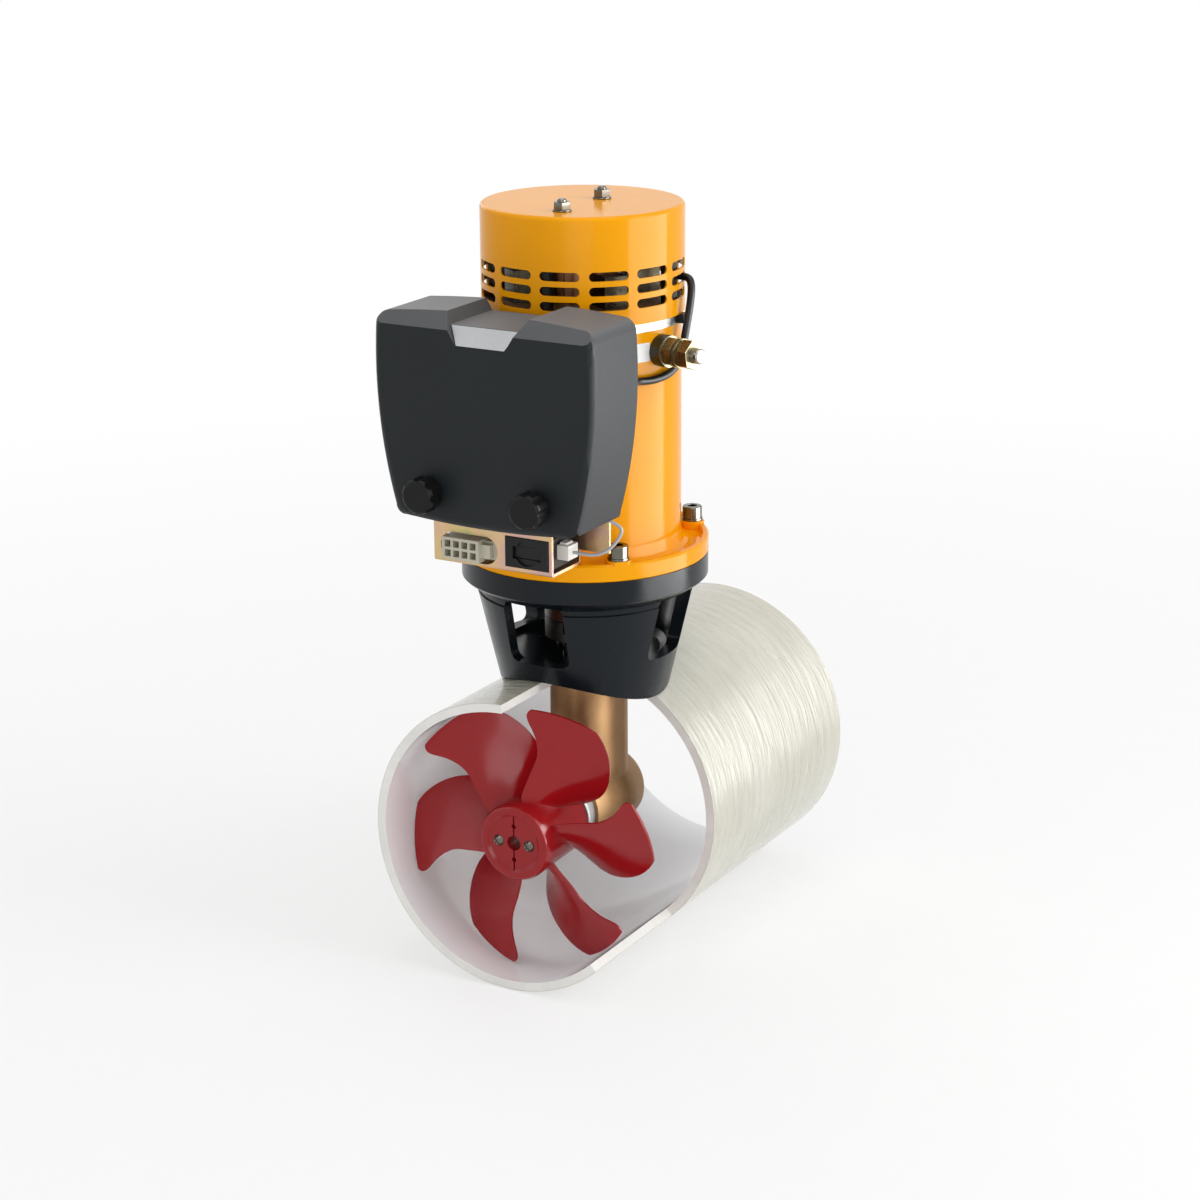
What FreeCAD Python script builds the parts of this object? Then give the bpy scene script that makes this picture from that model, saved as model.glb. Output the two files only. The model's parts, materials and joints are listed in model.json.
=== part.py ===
import FreeCAD, Part
import math
import os

from FreeCAD import Vector, Rotation, Placement

# Bow thruster, in millimetres. The origin is where the vertical axis of the motor and leg
# crosses the axis of the tunnel. +Z runs up the motor shaft and +Y along the tunnel, away
# from the propeller.

X_AXIS = Vector(1, 0, 0)
Y_AXIS = Vector(0, 1, 0)
Z_AXIS = Vector(0, 0, 1)
ORIGIN = Vector(0, 0, 0)

# fits
running_gap = 0.05        # radial, shaft in a part that stands still
slide_gap = 0.3           # flat faces of pieces that move apart
socket_gap = 0.1          # radial, a piece let into a socket of its own body

# tunnel
tunnel_bore_r = 92.5
tunnel_wall = 6.0
tunnel_front_y = -106.6
tunnel_rear_y = 194.0
cutaway_rear_y = -3.0     # the section window ends here
cutaway_top_deg = 90.6    # radial planes of the section window
cutaway_low_deg = -47.0

# leg and gear case
leg_r = 24.0
leg_tail = 8.0            # the leg's section is drawn out this far along the tunnel
leg_top_z = 102.0
case_front_y = -27.0
case_front_r = 24.5
case_belly_y = 8.0
case_belly_r = 30.0
case_shoulder_y = 33.0
case_shoulder_r = 26.0
case_rear_y = 44.0
case_nose_r = 12.0
chamber_r = 22.0
chamber_front_y = -12.0
chamber_rear_y = 35.0
pinion_pocket_r = 14.5

# bevel gears, apex at the origin
module = 1.8
pinion_teeth = 13
wheel_teeth = 21
face_width = 7.0
pressure_deg = 20.0
profile_shift = 0.35
tooth_clearance = 0.25    # in modules
backlash = 0.22           # along the pitch circle, in millimetres

# drive shaft and propeller shaft
drive_shaft_r = 6.0
pinion_seat_r = 5.0       # the shaft is stepped down inside the pinion
propeller_shaft_r = 8.0
propeller_shaft_rear_r = 7.0

# bearings of the leg and gear case: outer radius, width
leg_bearing_r = 12.0
leg_bearing_width = 8.0
leg_bearing_z = 78.0
pinion_bearing_r = 14.0
pinion_bearing_width = 9.0
pinion_bearing_z = 23.5
front_bearing_r = 17.0
front_bearing_width = 10.0
front_bearing_y = -24.0
rear_bearing_r = 15.0
rear_bearing_width = 9.0
rear_bearing_y = 22.5
bearing_balls = 7

# propeller
blade_count = 6
hub_front_y = -97.0
hub_rear_y = -41.0
hub_front_r = 26.0
hub_rear_r = 24.5
hub_edge_r = 4.0
hub_dish_r = 20.0
hub_dish_depth = 1.5
hub_hole_r = 5.0
hub_web = 11.0
hub_screw_x = 11.4
hub_screw_head_r = 3.9
hub_screw_r = 2.0
blade_mid_y = -71.5
blade_pitch = 186.5       # advance per turn
blade_root_thickness = 6.5
blade_tip_thickness = 2.2
blade_edge_thickness = 1.2
blade_root_r = 21.0
blade_tip_r = 90.3

# intermediate flange
seal_thickness = 1.0
flange_foot_r = 56.0
flange_foot_z = 85.0
flange_floor_z = 108.0
flange_top_z = 175.7
flange_rim_z = flange_top_z - 14.7      # lower edge of the rim
flange_neck_z = flange_rim_z - 7.5
flange_ledge = 1.0
flange_ledge_z = flange_neck_z - 4.0
flange_wall = 8.5
flange_roof_z = flange_top_z - 12.7
flange_mouth_r = 50.0
window_width = 44.0
window_low_z = flange_floor_z + 3.7
window_high_z = flange_roof_z - 8.0
window_corner_r = 6.0
clamp_bolt_r = 3.0
clamp_bolt_circle = 18.0
clamp_bolt_low_z = 87.0

# motor base
base_r = 81.5
base_rim_top_z = flange_top_z + 11.3
base_rim_width = 4.5
base_dish_z = flange_top_z + 7.6
base_floor_z = base_dish_z - 0.8        # inside the motor
base_step_z = flange_top_z + 16.3       # the yoke stands here
base_spigot_z = flange_top_z - 8.7
boss_top_z = base_rim_top_z + 1.6
flange_rim_r = base_r - 0.2
flange_neck_r = flange_rim_r - 9.3
screw_circle_r = base_r - 7.0
screw_first_deg = 46.4
screw_head_r = 6.5
screw_head_height = 8.0
screw_r = 4.0
screw_depth = 14.0

# bearings of the motor: outer radius, width
lower_bearing_r = 20.0
lower_bearing_width = 12.0
lower_bearing_z = flange_top_z - 5.7
upper_bearing_r = 17.5
upper_bearing_width = 11.0

# coupling
coupling_r = 27.0
coupling_floor_z = flange_floor_z + 9.0
coupling_jaw_z = coupling_floor_z + 6.0
coupling_jaw_height = 8.0
coupling_top_z = lower_bearing_z - 17.0
coupling_hub_r = 14.0
coupling_jaws = 3
drive_shaft_top_z = coupling_jaw_z - 1.5

# motor
yoke_r = 63.4
yoke_wall = 6.0
yoke_height = 138.5
yoke_top_z = base_step_z + yoke_height
shield_r = yoke_r + 0.8
shield_band_z = yoke_top_z + 5.9
shield_top_z = yoke_top_z + 11.5
shield_inner_r = yoke_r - 9.4
bridge_low_z = shield_top_z + 37.5
bridge_top_z = bridge_low_z + 6.5
upper_bearing_z = bridge_low_z - 6.5
post_width = 12.0
post_deg = 5.0
cap_r = yoke_r + 2.15
cap_sheet = 1.2
cap_top_z = bridge_top_z + 19.4
cap_edge_r = 2.8
slot_columns = 13
slot_first_deg = 9.9
slot_rows_z = (cap_top_z - 37.1, cap_top_z - 46.4, cap_top_z - 55.9)
slot_length = 25.6
slot_height = 5.8
cap_stud_places = ((9.0, -41.0), (7.0, 13.0))
cap_stud_r = 3.0
cap_stud_top_z = cap_top_z + 8.0
cap_stud_hold = 1.8
core_r = 37.5
core_low_z = base_step_z + 23.0
core_high_z = yoke_top_z - 30.5
core_slots = 15
core_slot_depth = 9.0
coil_overhang = 10.0
air_gap = 1.0
commutator_r = 24.0
commutator_low_z = yoke_top_z + 7.5
commutator_high_z = commutator_low_z + 31.0
commutator_bars = 24
motor_shaft_r = 8.5
motor_core_shaft_r = 12.0
motor_shaft_top_r = 7.5
brush_deg = -36.0
brush_width = 12.0
brush_height = 16.0
brush_length = 17.0
brush_low_z = shield_top_z + 5.5
holder_wall = 1.5

# terminal
terminal_deg = -10.0
terminal_z = yoke_top_z - 13.5
terminal_stud_r = 5.0
terminal_end_r = yoke_r + 32.6

# control bracket, plate folded from one sheet
sheet = 2.0
plate_y = -(yoke_r + 4.6)               # rear face of the upright plate
plate_front_y = plate_y - sheet
plate_half = 58.0
plate_top_z = yoke_top_z - 4.5
bracket_screw_heights = (base_step_z + 30.0, yoke_top_z - 12.5)
shelf_gap = 0.3
shelf_z = base_rim_top_z + shelf_gap
panel_y = plate_y - 36.0                # front face of the low panel
panel_left_x = -50.5
panel_right_x = 36.2
panel_top_z = shelf_z + 38.7
plug_hole_left_x = -45.5
plug_hole_right_x = -3.5
plug_hole_height = 18.0
plug_z = shelf_z + 11.2
plug_left_x = -41.0
plug_ways = 4
plug_pitch = 6.2
fuse_left_x = 2.3
fuse_right_x = 34.0
fuse_low_z = shelf_z + 3.3
fuse_high_z = fuse_low_z + 20.0

# cover and knobs
cover_front_y = plate_y - 58.0
cover_half = 78.0
cover_foot_half = 66.5
cover_waist_half = 75.6
cover_low_z = shelf_z + 30.2
cover_corner_z = cover_low_z + 3.5
cover_waist_z = cover_low_z + 52.5
cover_top_z = cover_low_z + 135.5
cover_crown = 3.0                       # the top falls this much from the middle to the sides
cover_corner_r = 9.0
cover_front_round = 6.0
cover_bevel = 10.5
cover_wall = 3.0
valley_floor_z = cover_top_z - 8.0
valley_foot_z = valley_floor_z - 13.0
valley_slope_run = 7.0
valley_foot_half = 17.0
valley_lean = 0.6         # widening of the valley per unit of height
badge_thickness = 0.8
knob_x = 38.5
knob_z = cover_low_z + 21.3
knob_r = 11.4
knob_head = 12.5
knob_neck_r = 7.5
knob_neck = 3.5
knob_lobes = 8
cover_stud_r = 3.0

# relays
relay_r = 21.0
relay_x = 29.0
relay_y = plate_y - 28.0
relay_low_z = cover_low_z + 34.5
relay_high_z = relay_low_z + 58.0

# leads
heat_lead_r = 2.5
control_lead_r = 1.1


# ---------------------------------------------------------------- helpers

def cylinder(radius, length, base=ORIGIN, axis=Z_AXIS):
    return Part.makeCylinder(radius, length, base, axis)


def tube(outer_r, inner_r, length, base=ORIGIN, axis=Z_AXIS):
    overshoot = axis * 1.0
    hole = cylinder(inner_r, length + 2.0, base - overshoot, axis)
    return cylinder(outer_r, length, base, axis).cut(hole)


def block(low, high):
    size = Vector(*high) - Vector(*low)
    return Part.makeBox(size.x, size.y, size.z, Vector(*low))


def polar(radius, degrees, z=0.0):
    angle = math.radians(degrees)
    return Vector(radius * math.cos(angle), radius * math.sin(angle), z)


def turned(shape, degrees, axis=Z_AXIS, centre=ORIGIN):
    copy = shape.copy()
    copy.rotate(centre, axis, degrees)
    return copy


def ring_of(shape, count, axis=Z_AXIS, first_deg=0.0):
    return [turned(shape, first_deg + 360.0 * index / count, axis) for index in range(count)]


def revolved_z(points):
    """Solid of revolution about Z from (radius, z) points."""
    corners = [Vector(radius, 0, z) for radius, z in points]
    face = Part.Face(Part.makePolygon(corners + corners[:1]))
    return face.revolve(ORIGIN, Z_AXIS, 360)


def revolved_y(points):
    """Solid of revolution about Y from (y, radius) points."""
    corners = [Vector(radius, y, 0) for y, radius in points]
    face = Part.Face(Part.makePolygon(corners + corners[:1]))
    return face.revolve(ORIGIN, Y_AXIS, 360)


def hexagon(across_flats, height, base, axis=Z_AXIS):
    corner_r = across_flats / math.sqrt(3)
    corners = [polar(corner_r, 60 * index) for index in range(7)]
    prism = Part.Face(Part.makePolygon(corners)).extrude(Z_AXIS * height)
    prism.Placement = Placement(base, Rotation(Z_AXIS, axis))
    return prism


def sector(inner_r, outer_r, half_deg, low_z, high_z):
    """Part of a ring, centred on +X."""
    inner = [polar(inner_r, turn, low_z) for turn in (-half_deg, 0, half_deg)]
    outer = [polar(outer_r, turn, low_z) for turn in (half_deg, 0, -half_deg)]
    edges = [
        Part.Arc(*inner).toShape(),
        Part.LineSegment(inner[2], outer[0]).toShape(),
        Part.Arc(*outer).toShape(),
        Part.LineSegment(outer[2], inner[0]).toShape(),
    ]
    return Part.Face(Part.Wire(edges)).extrude(Z_AXIS * (high_z - low_z))


def obround(length, height, depth):
    """Slot-shaped bar along +X from the origin, its length along Y and height along Z."""
    radius = height / 2
    reach = length / 2 - radius
    top = [Vector(0, -reach, radius), Vector(0, reach, radius)]
    low = [Vector(0, reach, -radius), Vector(0, -reach, -radius)]
    edges = [
        Part.LineSegment(*top).toShape(),
        Part.Arc(top[1], Vector(0, reach + radius, 0), low[0]).toShape(),
        Part.LineSegment(*low).toShape(),
        Part.Arc(low[1], Vector(0, -reach - radius, 0), top[0]).toShape(),
    ]
    return Part.Face(Part.Wire(edges)).extrude(X_AXIS * depth)


def rod(name, points, radius):
    """Round lead along straight runs that are joined by tangent arcs."""
    points = [Vector(*point) for point in points]
    path = []
    start = points[0]
    radii = []
    for before, corner, after in zip(points, points[1:], points[2:]):
        inward = (before - corner).normalize()
        outward = (after - corner).normalize()
        turn = math.pi - inward.getAngle(outward)
        shorter = min((before - corner).Length, (after - corner).Length)
        cut = 0.45 * shorter
        radii.append(cut / math.tan(turn / 2))
        arc_start = corner + inward * cut
        arc_end = corner + outward * cut
        arc_centre = corner + (inward + outward).normalize() * (radii[-1] / math.cos(turn / 2))
        middle = arc_centre + (corner - arc_centre).normalize() * radii[-1]
        path.append(Part.LineSegment(start, arc_start).toShape())
        path.append(Part.Arc(arc_start, middle, arc_end).toShape())
        start = arc_end
    path.append(Part.LineSegment(start, points[-1]).toShape())
    spine = Part.Wire(path)
    heading = (points[1] - points[0]).normalize()
    profile = Part.Wire(Part.makeCircle(radius, points[0], heading))
    lead = spine.makePipeShell([profile], True, False)
    ideal = math.pi * radius ** 2 * spine.Length
    print(name, "length", round(spine.Length, 1), "volume ratio", round(lead.Volume / ideal, 4),
          "arc radii", [round(value, 1) for value in radii])
    return lead


def leg_section(grow, low_z, high_z):
    """The leg's drawn-out round section, grown on all sides."""
    radius = leg_r + grow
    nose = [Vector(-radius, 0, low_z), Vector(0, -radius, low_z), Vector(radius, 0, low_z)]
    tail = [Vector(radius, leg_tail, low_z), Vector(0, leg_tail + radius, low_z),
            Vector(-radius, leg_tail, low_z)]
    edges = [
        Part.Arc(*nose).toShape(),
        Part.LineSegment(nose[2], tail[0]).toShape(),
        Part.Arc(*tail).toShape(),
        Part.LineSegment(tail[2], nose[0]).toShape(),
    ]
    return Part.Face(Part.Wire(edges)).extrude(Z_AXIS * (high_z - low_z))


def ball_bearing(bore_r, outer_r, width, base, axis):
    """Outer ring, inner ring and balls of a deep-groove bearing that starts at base."""
    pitch_r = (bore_r + outer_r) / 2
    ball_r = 0.27 * (outer_r - bore_r)
    land = 0.55 * ball_r
    centre = base + axis * (width / 2)
    groove = Part.makeTorus(pitch_r, ball_r + running_gap, centre, axis)
    outer_ring = tube(outer_r, pitch_r + land, width, base, axis).cut(groove)
    inner_ring = tube(pitch_r - land, bore_r, width, base, axis).cut(groove)
    side = X_AXIS
    balls = [turned(Part.makeSphere(ball_r, centre + side * pitch_r), 360.0 * index / bearing_balls,
                    axis, centre) for index in range(bearing_balls)]
    return outer_ring, inner_ring, balls


def export(name, shape):
    solids = shape.Solids if hasattr(shape, "Solids") else shape
    shape = solids[0] if len(solids) == 1 else Part.makeCompound(solids)
    shape.exportStep(f"parts/{name}.step")


def gather(shapes):
    return Part.makeCompound([solid for shape in shapes for solid in shape.Solids])


# ---------------------------------------------------------------- tunnel

tunnel_outer_r = tunnel_bore_r + tunnel_wall


def make_tunnel():
    length = tunnel_rear_y - tunnel_front_y
    pipe = tube(tunnel_outer_r, tunnel_bore_r, length, Vector(0, tunnel_front_y, 0), Y_AXIS)
    reach = tunnel_outer_r + 5
    corners = [Vector(0, tunnel_front_y - 1, 0), Vector(reach, tunnel_front_y - 1, 0),
               Vector(reach, cutaway_rear_y, 0), Vector(0, cutaway_rear_y, 0)]
    face = Part.Face(Part.makePolygon(corners + corners[:1]))
    face.rotate(ORIGIN, Y_AXIS, -cutaway_low_deg)
    window = face.revolve(ORIGIN, Y_AXIS, cutaway_low_deg - cutaway_top_deg)
    return pipe.cut(window).cut(leg_section(socket_gap, 0, tunnel_outer_r + 5))


# ---------------------------------------------------------------- leg and gear case

def make_tail_piece():
    shell = revolved_y([
        (case_front_y, 0), (case_front_y, case_front_r),
        ((case_front_y + case_belly_y) / 2 - 3, (case_front_r + case_belly_r) / 2),
        (case_belly_y - 6, case_belly_r - 0.6), (case_belly_y, case_belly_r),
        (case_belly_y + 8, case_belly_r - 0.6), (case_shoulder_y, case_shoulder_r),
        (chamber_rear_y + 1, case_shoulder_r - 1.5), (chamber_rear_y + 1, 0),
    ])
    leg = leg_section(0, 0, leg_top_z)
    body = shell.fuse(leg)
    chamber = cylinder(chamber_r, chamber_rear_y + 2 - chamber_front_y,
                       Vector(0, chamber_front_y, 0), Y_AXIS)
    front_seat = cylinder(front_bearing_r, chamber_front_y - front_bearing_y,
                          Vector(0, front_bearing_y, 0), Y_AXIS)
    shaft_way = cylinder(propeller_shaft_r + 2.5, front_bearing_y - case_front_y + 1,
                         Vector(0, case_front_y - 1, 0), Y_AXIS)
    pinion_pocket = cylinder(pinion_pocket_r, pinion_bearing_z)
    bearing_top_z = pinion_bearing_z + pinion_bearing_width
    pinion_seat = cylinder(pinion_bearing_r, bearing_top_z - 10, Vector(0, 0, 10))
    drive_way = cylinder(drive_shaft_r + 2, leg_top_z)
    head_seat = cylinder(leg_bearing_r, leg_top_z, Vector(0, 0, leg_bearing_z))
    for hollow in (chamber, front_seat, shaft_way, pinion_pocket, pinion_seat, drive_way, head_seat):
        body = body.cut(hollow)
    for place in clamp_bolt_places():
        hole = cylinder(clamp_bolt_r, leg_top_z, Vector(place.x, place.y, clamp_bolt_low_z))
        body = body.cut(hole)
    return body


def make_case_plug():
    """Threaded plug that closes the gear case behind the rear bearing."""
    rim_r = case_shoulder_r - 1.5
    plug = revolved_y([
        (chamber_rear_y - 3, 0), (chamber_rear_y - 3, chamber_r), (chamber_rear_y + 1, chamber_r),
        (chamber_rear_y + 1, rim_r), (chamber_rear_y + 4, rim_r - 2.5),
        (case_rear_y - 2, case_nose_r + 3), (case_rear_y, case_nose_r - 4), (case_rear_y, 0),
    ])
    socket = hexagon(10.0, 4.0, Vector(0, case_rear_y - 4.0, 0), Y_AXIS)
    return plug.cut(socket)


def make_rear_carrier():
    """Ring that holds the rear bearing in the gear chamber."""
    length = chamber_rear_y - 3 - rear_bearing_y
    return tube(chamber_r, rear_bearing_r, length, Vector(0, rear_bearing_y, 0), Y_AXIS)


def make_anode():
    collar_y = case_front_y - 12.5
    step_y = case_front_y - 6.0
    anode = revolved_y([
        (collar_y, propeller_shaft_r + 3), (collar_y, case_front_r - 1), (collar_y + 1, case_front_r),
        (step_y, case_front_r), (step_y, case_front_r - 2.5), (case_front_y, case_front_r - 2.5),
        (case_front_y, propeller_shaft_r + 3),
    ])
    notch = block((-4, step_y, 12), (4, case_front_y, case_front_r + 1))
    for index in range(4):
        anode = anode.cut(turned(notch, 45 + 90 * index, Y_AXIS))
    return anode


def make_shaft_seals():
    lip_r = propeller_shaft_r + running_gap
    front = tube(propeller_shaft_r + 2.5, lip_r, 3.0, Vector(0, case_front_y, 0), Y_AXIS)
    seal_z = leg_bearing_z + leg_bearing_width + 2
    top = tube(leg_bearing_r, drive_shaft_r + running_gap, 7.0, Vector(0, 0, seal_z))
    return gather([front, top])


# ---------------------------------------------------------------- bevel gears

pinion_pitch_r = module * pinion_teeth / 2
wheel_pitch_r = module * wheel_teeth / 2
cone_distance = math.hypot(pinion_pitch_r, wheel_pitch_r)
small_end = 1 - face_width / cone_distance


def involute(angle):
    return math.tan(angle) - angle


def gap_outline(teeth, cone_angle, shift, addendum, dedendum):
    """Half of a tooth gap on the back cone, as (across, outward) points from root to tip."""
    back_r = module * teeth / 2 / math.cos(cone_angle)
    base_r = back_r * math.cos(math.radians(pressure_deg))
    virtual_teeth = 2 * back_r / module
    pitch_half = math.pi / (2 * virtual_teeth) + 2 * shift * math.tan(
        math.radians(pressure_deg)) / virtual_teeth - backlash / 4 / back_r
    start_r = max(base_r, back_r - dedendum)
    end_r = back_r + addendum
    points = []
    steps = 4
    for index in range(steps + 1):
        radius = start_r + (end_r - start_r) * index / steps
        roll = math.acos(min(1.0, base_r / radius))
        half_tooth = pitch_half + involute(math.radians(pressure_deg)) - involute(roll)
        half_gap = math.pi / virtual_teeth - half_tooth
        points.append((radius * math.sin(half_gap), radius * math.cos(half_gap) - back_r))
    root_across = points[0][0] * 0.92
    return [(root_across, -dedendum)] + points


def gap_tool(teeth, cone_angle, shift, addendum, dedendum):
    """Pyramid through the apex that clears one tooth gap; its gear turns about +Z."""
    half = gap_outline(teeth, cone_angle, shift, addendum, dedendum)
    last = half[-1]
    before = half[-2]
    grow = 1.2 * module / (last[1] - before[1])
    half.append((last[0] + (last[0] - before[0]) * grow, last[1] + 1.2 * module))
    outline = [(-across, out) for across, out in half] + half[::-1]
    pitch_point = Vector(math.sin(cone_angle), 0, math.cos(cone_angle)) * cone_distance
    outward = Vector(math.cos(cone_angle), 0, -math.sin(cone_angle))
    big = [pitch_point + Y_AXIS * across + outward * out for across, out in outline]
    near = [point * (small_end * 0.8) for point in big]
    far = [point * 1.25 for point in big]
    count = len(big)
    faces = [Part.Face(Part.makePolygon(near + near[:1])), Part.Face(Part.makePolygon(far + far[:1]))]
    for index in range(count):
        following = (index + 1) % count
        corners = [near[index], near[following], far[following], far[index], near[index]]
        faces.append(Part.Face(Part.makePolygon(corners)))
    tool = Part.Solid(Part.Shell(faces))
    if tool.Volume < 0:
        tool.reverse()
    return tool


def bevel_gear(teeth, pitch_r, cone_angle, shift, bore_r, back_at, hub_r, gap_first):
    """Straight bevel gear about +Z with its apex at the origin and its big end up."""
    addendum = module * (1 + shift)
    dedendum = module * (1 + tooth_clearance - shift)
    axial = pitch_r / math.tan(cone_angle)
    run = math.sin(cone_angle)
    rise = math.cos(cone_angle)
    tip = (pitch_r + addendum * rise, axial - addendum * run)
    root = (pitch_r - dedendum * rise, axial + dedendum * run)
    rim = (pitch_r - (dedendum + module) * rise, axial + (dedendum + module) * run)
    inner = (root[0] * small_end - 0.6 * module * rise, root[1] * small_end + 0.6 * module * run)
    blank = revolved_z([
        (bore_r, inner[1]), inner, (tip[0] * small_end, tip[1] * small_end), tip, rim,
        (hub_r, rim[1]), (hub_r, back_at), (bore_r, back_at),
    ])
    tool = gap_tool(teeth, cone_angle, shift, addendum, dedendum)
    step = 360.0 / teeth
    gaps = ring_of(tool, teeth, Z_AXIS, 0.0 if gap_first else step / 2)
    return blank.cut(gaps)


pinion_cone = math.atan2(pinion_pitch_r, wheel_pitch_r)
wheel_cone = math.pi / 2 - pinion_cone


def make_bevel_pinion():
    """Turns about Z; a gap faces the wheel on the +Y side."""
    gear = bevel_gear(pinion_teeth, pinion_pitch_r, pinion_cone, profile_shift, pinion_seat_r,
                      pinion_bearing_z, drive_shaft_r + 1.8, True)
    return turned(gear, 90)


def make_crown_wheel():
    """Turns about Y; a tooth stands under the pinion on the +Z side."""
    gear = bevel_gear(wheel_teeth, wheel_pitch_r, wheel_cone, -profile_shift, propeller_shaft_r,
                      rear_bearing_y - 2.0, propeller_shaft_r + 4, False)
    return turned(turned(gear, -90), -90, X_AXIS)


# ---------------------------------------------------------------- shafts

def make_drive_shaft():
    foot_z = propeller_shaft_r + 4.0
    foot = cylinder(pinion_seat_r, pinion_bearing_z - foot_z + 1, Vector(0, 0, foot_z))
    return foot.fuse(cylinder(drive_shaft_r, drive_shaft_top_z - pinion_bearing_z,
                              Vector(0, 0, pinion_bearing_z)))


def make_propeller_shaft():
    front_y = hub_front_y + hub_web
    journal_y = rear_bearing_y - 0.5
    front = cylinder(propeller_shaft_r, journal_y - front_y, Vector(0, front_y, 0), Y_AXIS)
    rear = cylinder(propeller_shaft_rear_r, rear_bearing_width + 0.3, Vector(0, journal_y, 0), Y_AXIS)
    return front.fuse(rear)


def make_motor_shaft():
    return revolved_z([
        (0, coupling_jaw_z + coupling_jaw_height + 0.5),
        (motor_shaft_r, coupling_jaw_z + coupling_jaw_height + 0.5),
        (motor_shaft_r, lower_bearing_z + lower_bearing_width),
        (motor_core_shaft_r, lower_bearing_z + lower_bearing_width),
        (motor_core_shaft_r, upper_bearing_z - 2), (motor_shaft_top_r, upper_bearing_z - 2),
        (motor_shaft_top_r, upper_bearing_z + upper_bearing_width),
        (0, upper_bearing_z + upper_bearing_width),
    ])


# ---------------------------------------------------------------- propeller

# radius, leading edge and trailing edge in degrees from the blade's middle line
blade_outline = (
    (blade_root_r, -12.0, 29.0),
    (27.0, -17.0, 29.0),
    (33.0, -23.5, 27.5),
    (40.0, -27.0, 24.5),
    (48.0, -28.0, 22.0),
    (57.0, -26.0, 20.0),
    (66.0, -21.5, 20.8),
    (74.0, -16.5, 23.0),
    (82.0, -10.5, 26.0),
    (87.5, -5.5, 26.5),
    (blade_tip_r, -2.0, 25.0),
)


def blade_row(radius, lead_deg, trail_deg, side):
    """Points across one face of the blade, on the cylinder of this radius."""
    share = (radius - blade_root_r) / (blade_tip_r - blade_root_r)
    thickness = blade_root_thickness + (blade_tip_thickness - blade_root_thickness) * share
    climb = math.atan2(blade_pitch, 2 * math.pi * radius)
    points = []
    for station in (0.0, 0.15, 0.5, 0.85, 1.0):
        bulge = math.sqrt(max(0.0, 1 - (2 * station - 1) ** 2))
        half = (blade_edge_thickness + (thickness - blade_edge_thickness) * bulge) / 2
        angle = math.radians(lead_deg + (trail_deg - lead_deg) * station)
        y = blade_mid_y - blade_pitch * angle / (2 * math.pi) + side * half * math.cos(climb)
        angle += side * half * math.sin(climb) / radius
        points.append(Vector(radius * math.cos(angle), y, radius * math.sin(angle)))
    return points


def make_blade():
    """One blade: two smooth faces that narrow strips join along the edges, root and tip."""
    sides = []
    for side in (1, -1):
        surface = Part.BSplineSurface()
        surface.interpolate([blade_row(*row, side) for row in blade_outline])
        low_u, high_u, low_v, high_v = surface.bounds()
        borders = [surface.uIso(low_u), surface.uIso(high_u), surface.vIso(low_v), surface.vIso(high_v)]
        sides.append((surface.toShape(), borders))
    faces = [face for face, borders in sides]
    for one, other in zip(sides[0][1], sides[1][1]):
        faces.append(Part.makeRuledSurface(one.toShape(), other.toShape()))
    shell = Part.Shell(faces)
    shell.sewShape()
    blade = Part.Solid(shell)
    if blade.Volume < 0:
        blade.reverse()
    return blade


def make_propeller():
    blade = make_blade()
    hub = revolved_y([
        (hub_front_y, 0), (hub_front_y, hub_front_r - hub_edge_r),
        (hub_front_y + hub_edge_r * 0.3, hub_front_r - hub_edge_r * 0.3),
        (hub_front_y + hub_edge_r, hub_front_r), (hub_rear_y - 1, hub_rear_r),
        (hub_rear_y, hub_rear_r - 1), (hub_rear_y, 0),
    ])
    dish = Part.makeCone(hub_dish_r, hub_dish_r - 2, hub_dish_depth, Vector(0, hub_front_y, 0), Y_AXIS)
    web_y = hub_front_y + hub_web
    cuts = [
        dish,
        cylinder(hub_hole_r, hub_web + 1, Vector(0, hub_front_y - 0.5, 0), Y_AXIS),
        cylinder(propeller_shaft_r, hub_rear_y - web_y + 1, Vector(0, web_y, 0), Y_AXIS),
        block((-0.5, hub_front_y - 1, -hub_dish_r + 1), (0.5, hub_front_y + 5, hub_dish_r - 1)),
        cylinder(1.6, 5.5, Vector(0, hub_front_y - 0.5, 11.5), Y_AXIS),
        cylinder(1.6, 5.5, Vector(0, hub_front_y - 0.5, -11.5), Y_AXIS),
    ]
    for side in (-1, 1):
        cuts.append(cylinder(hub_screw_r, hub_web, Vector(side * hub_screw_x, hub_front_y, 0), Y_AXIS))
    body = hub.multiFuse(ring_of(blade, blade_count, Y_AXIS))
    return body.cut(cuts)


def make_propeller_screws():
    screws = []
    seat_y = hub_front_y + hub_dish_depth
    for side in (-1, 1):
        place = Vector(side * hub_screw_x, seat_y, 0)
        head = Part.makeCone(hub_screw_head_r, hub_screw_head_r * 0.6, 2.4, place, Y_AXIS * -1)
        shank = cylinder(hub_screw_r, hub_web - hub_dish_depth, place, Y_AXIS)
        screw = head.fuse(shank)
        for turn in (0, 90):
            slot = block((-2.2, seat_y - 3, -0.4), (2.2, seat_y - 1.2, 0.4))
            slot = turned(slot, turn + 45, Y_AXIS)
            slot.translate(Vector(side * hub_screw_x, 0, 0))
            screw = screw.cut(slot)
        screws.append(screw)
    return gather(screws)


# ---------------------------------------------------------------- intermediate flange

saddle_r = tunnel_outer_r + seal_thickness


def flange_outer_r(z):
    """Radius of the flange's tapered body at height z."""
    share = (z - flange_foot_z) / (flange_neck_z - flange_foot_z)
    return flange_foot_r + (flange_neck_r - flange_foot_r) * share


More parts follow.
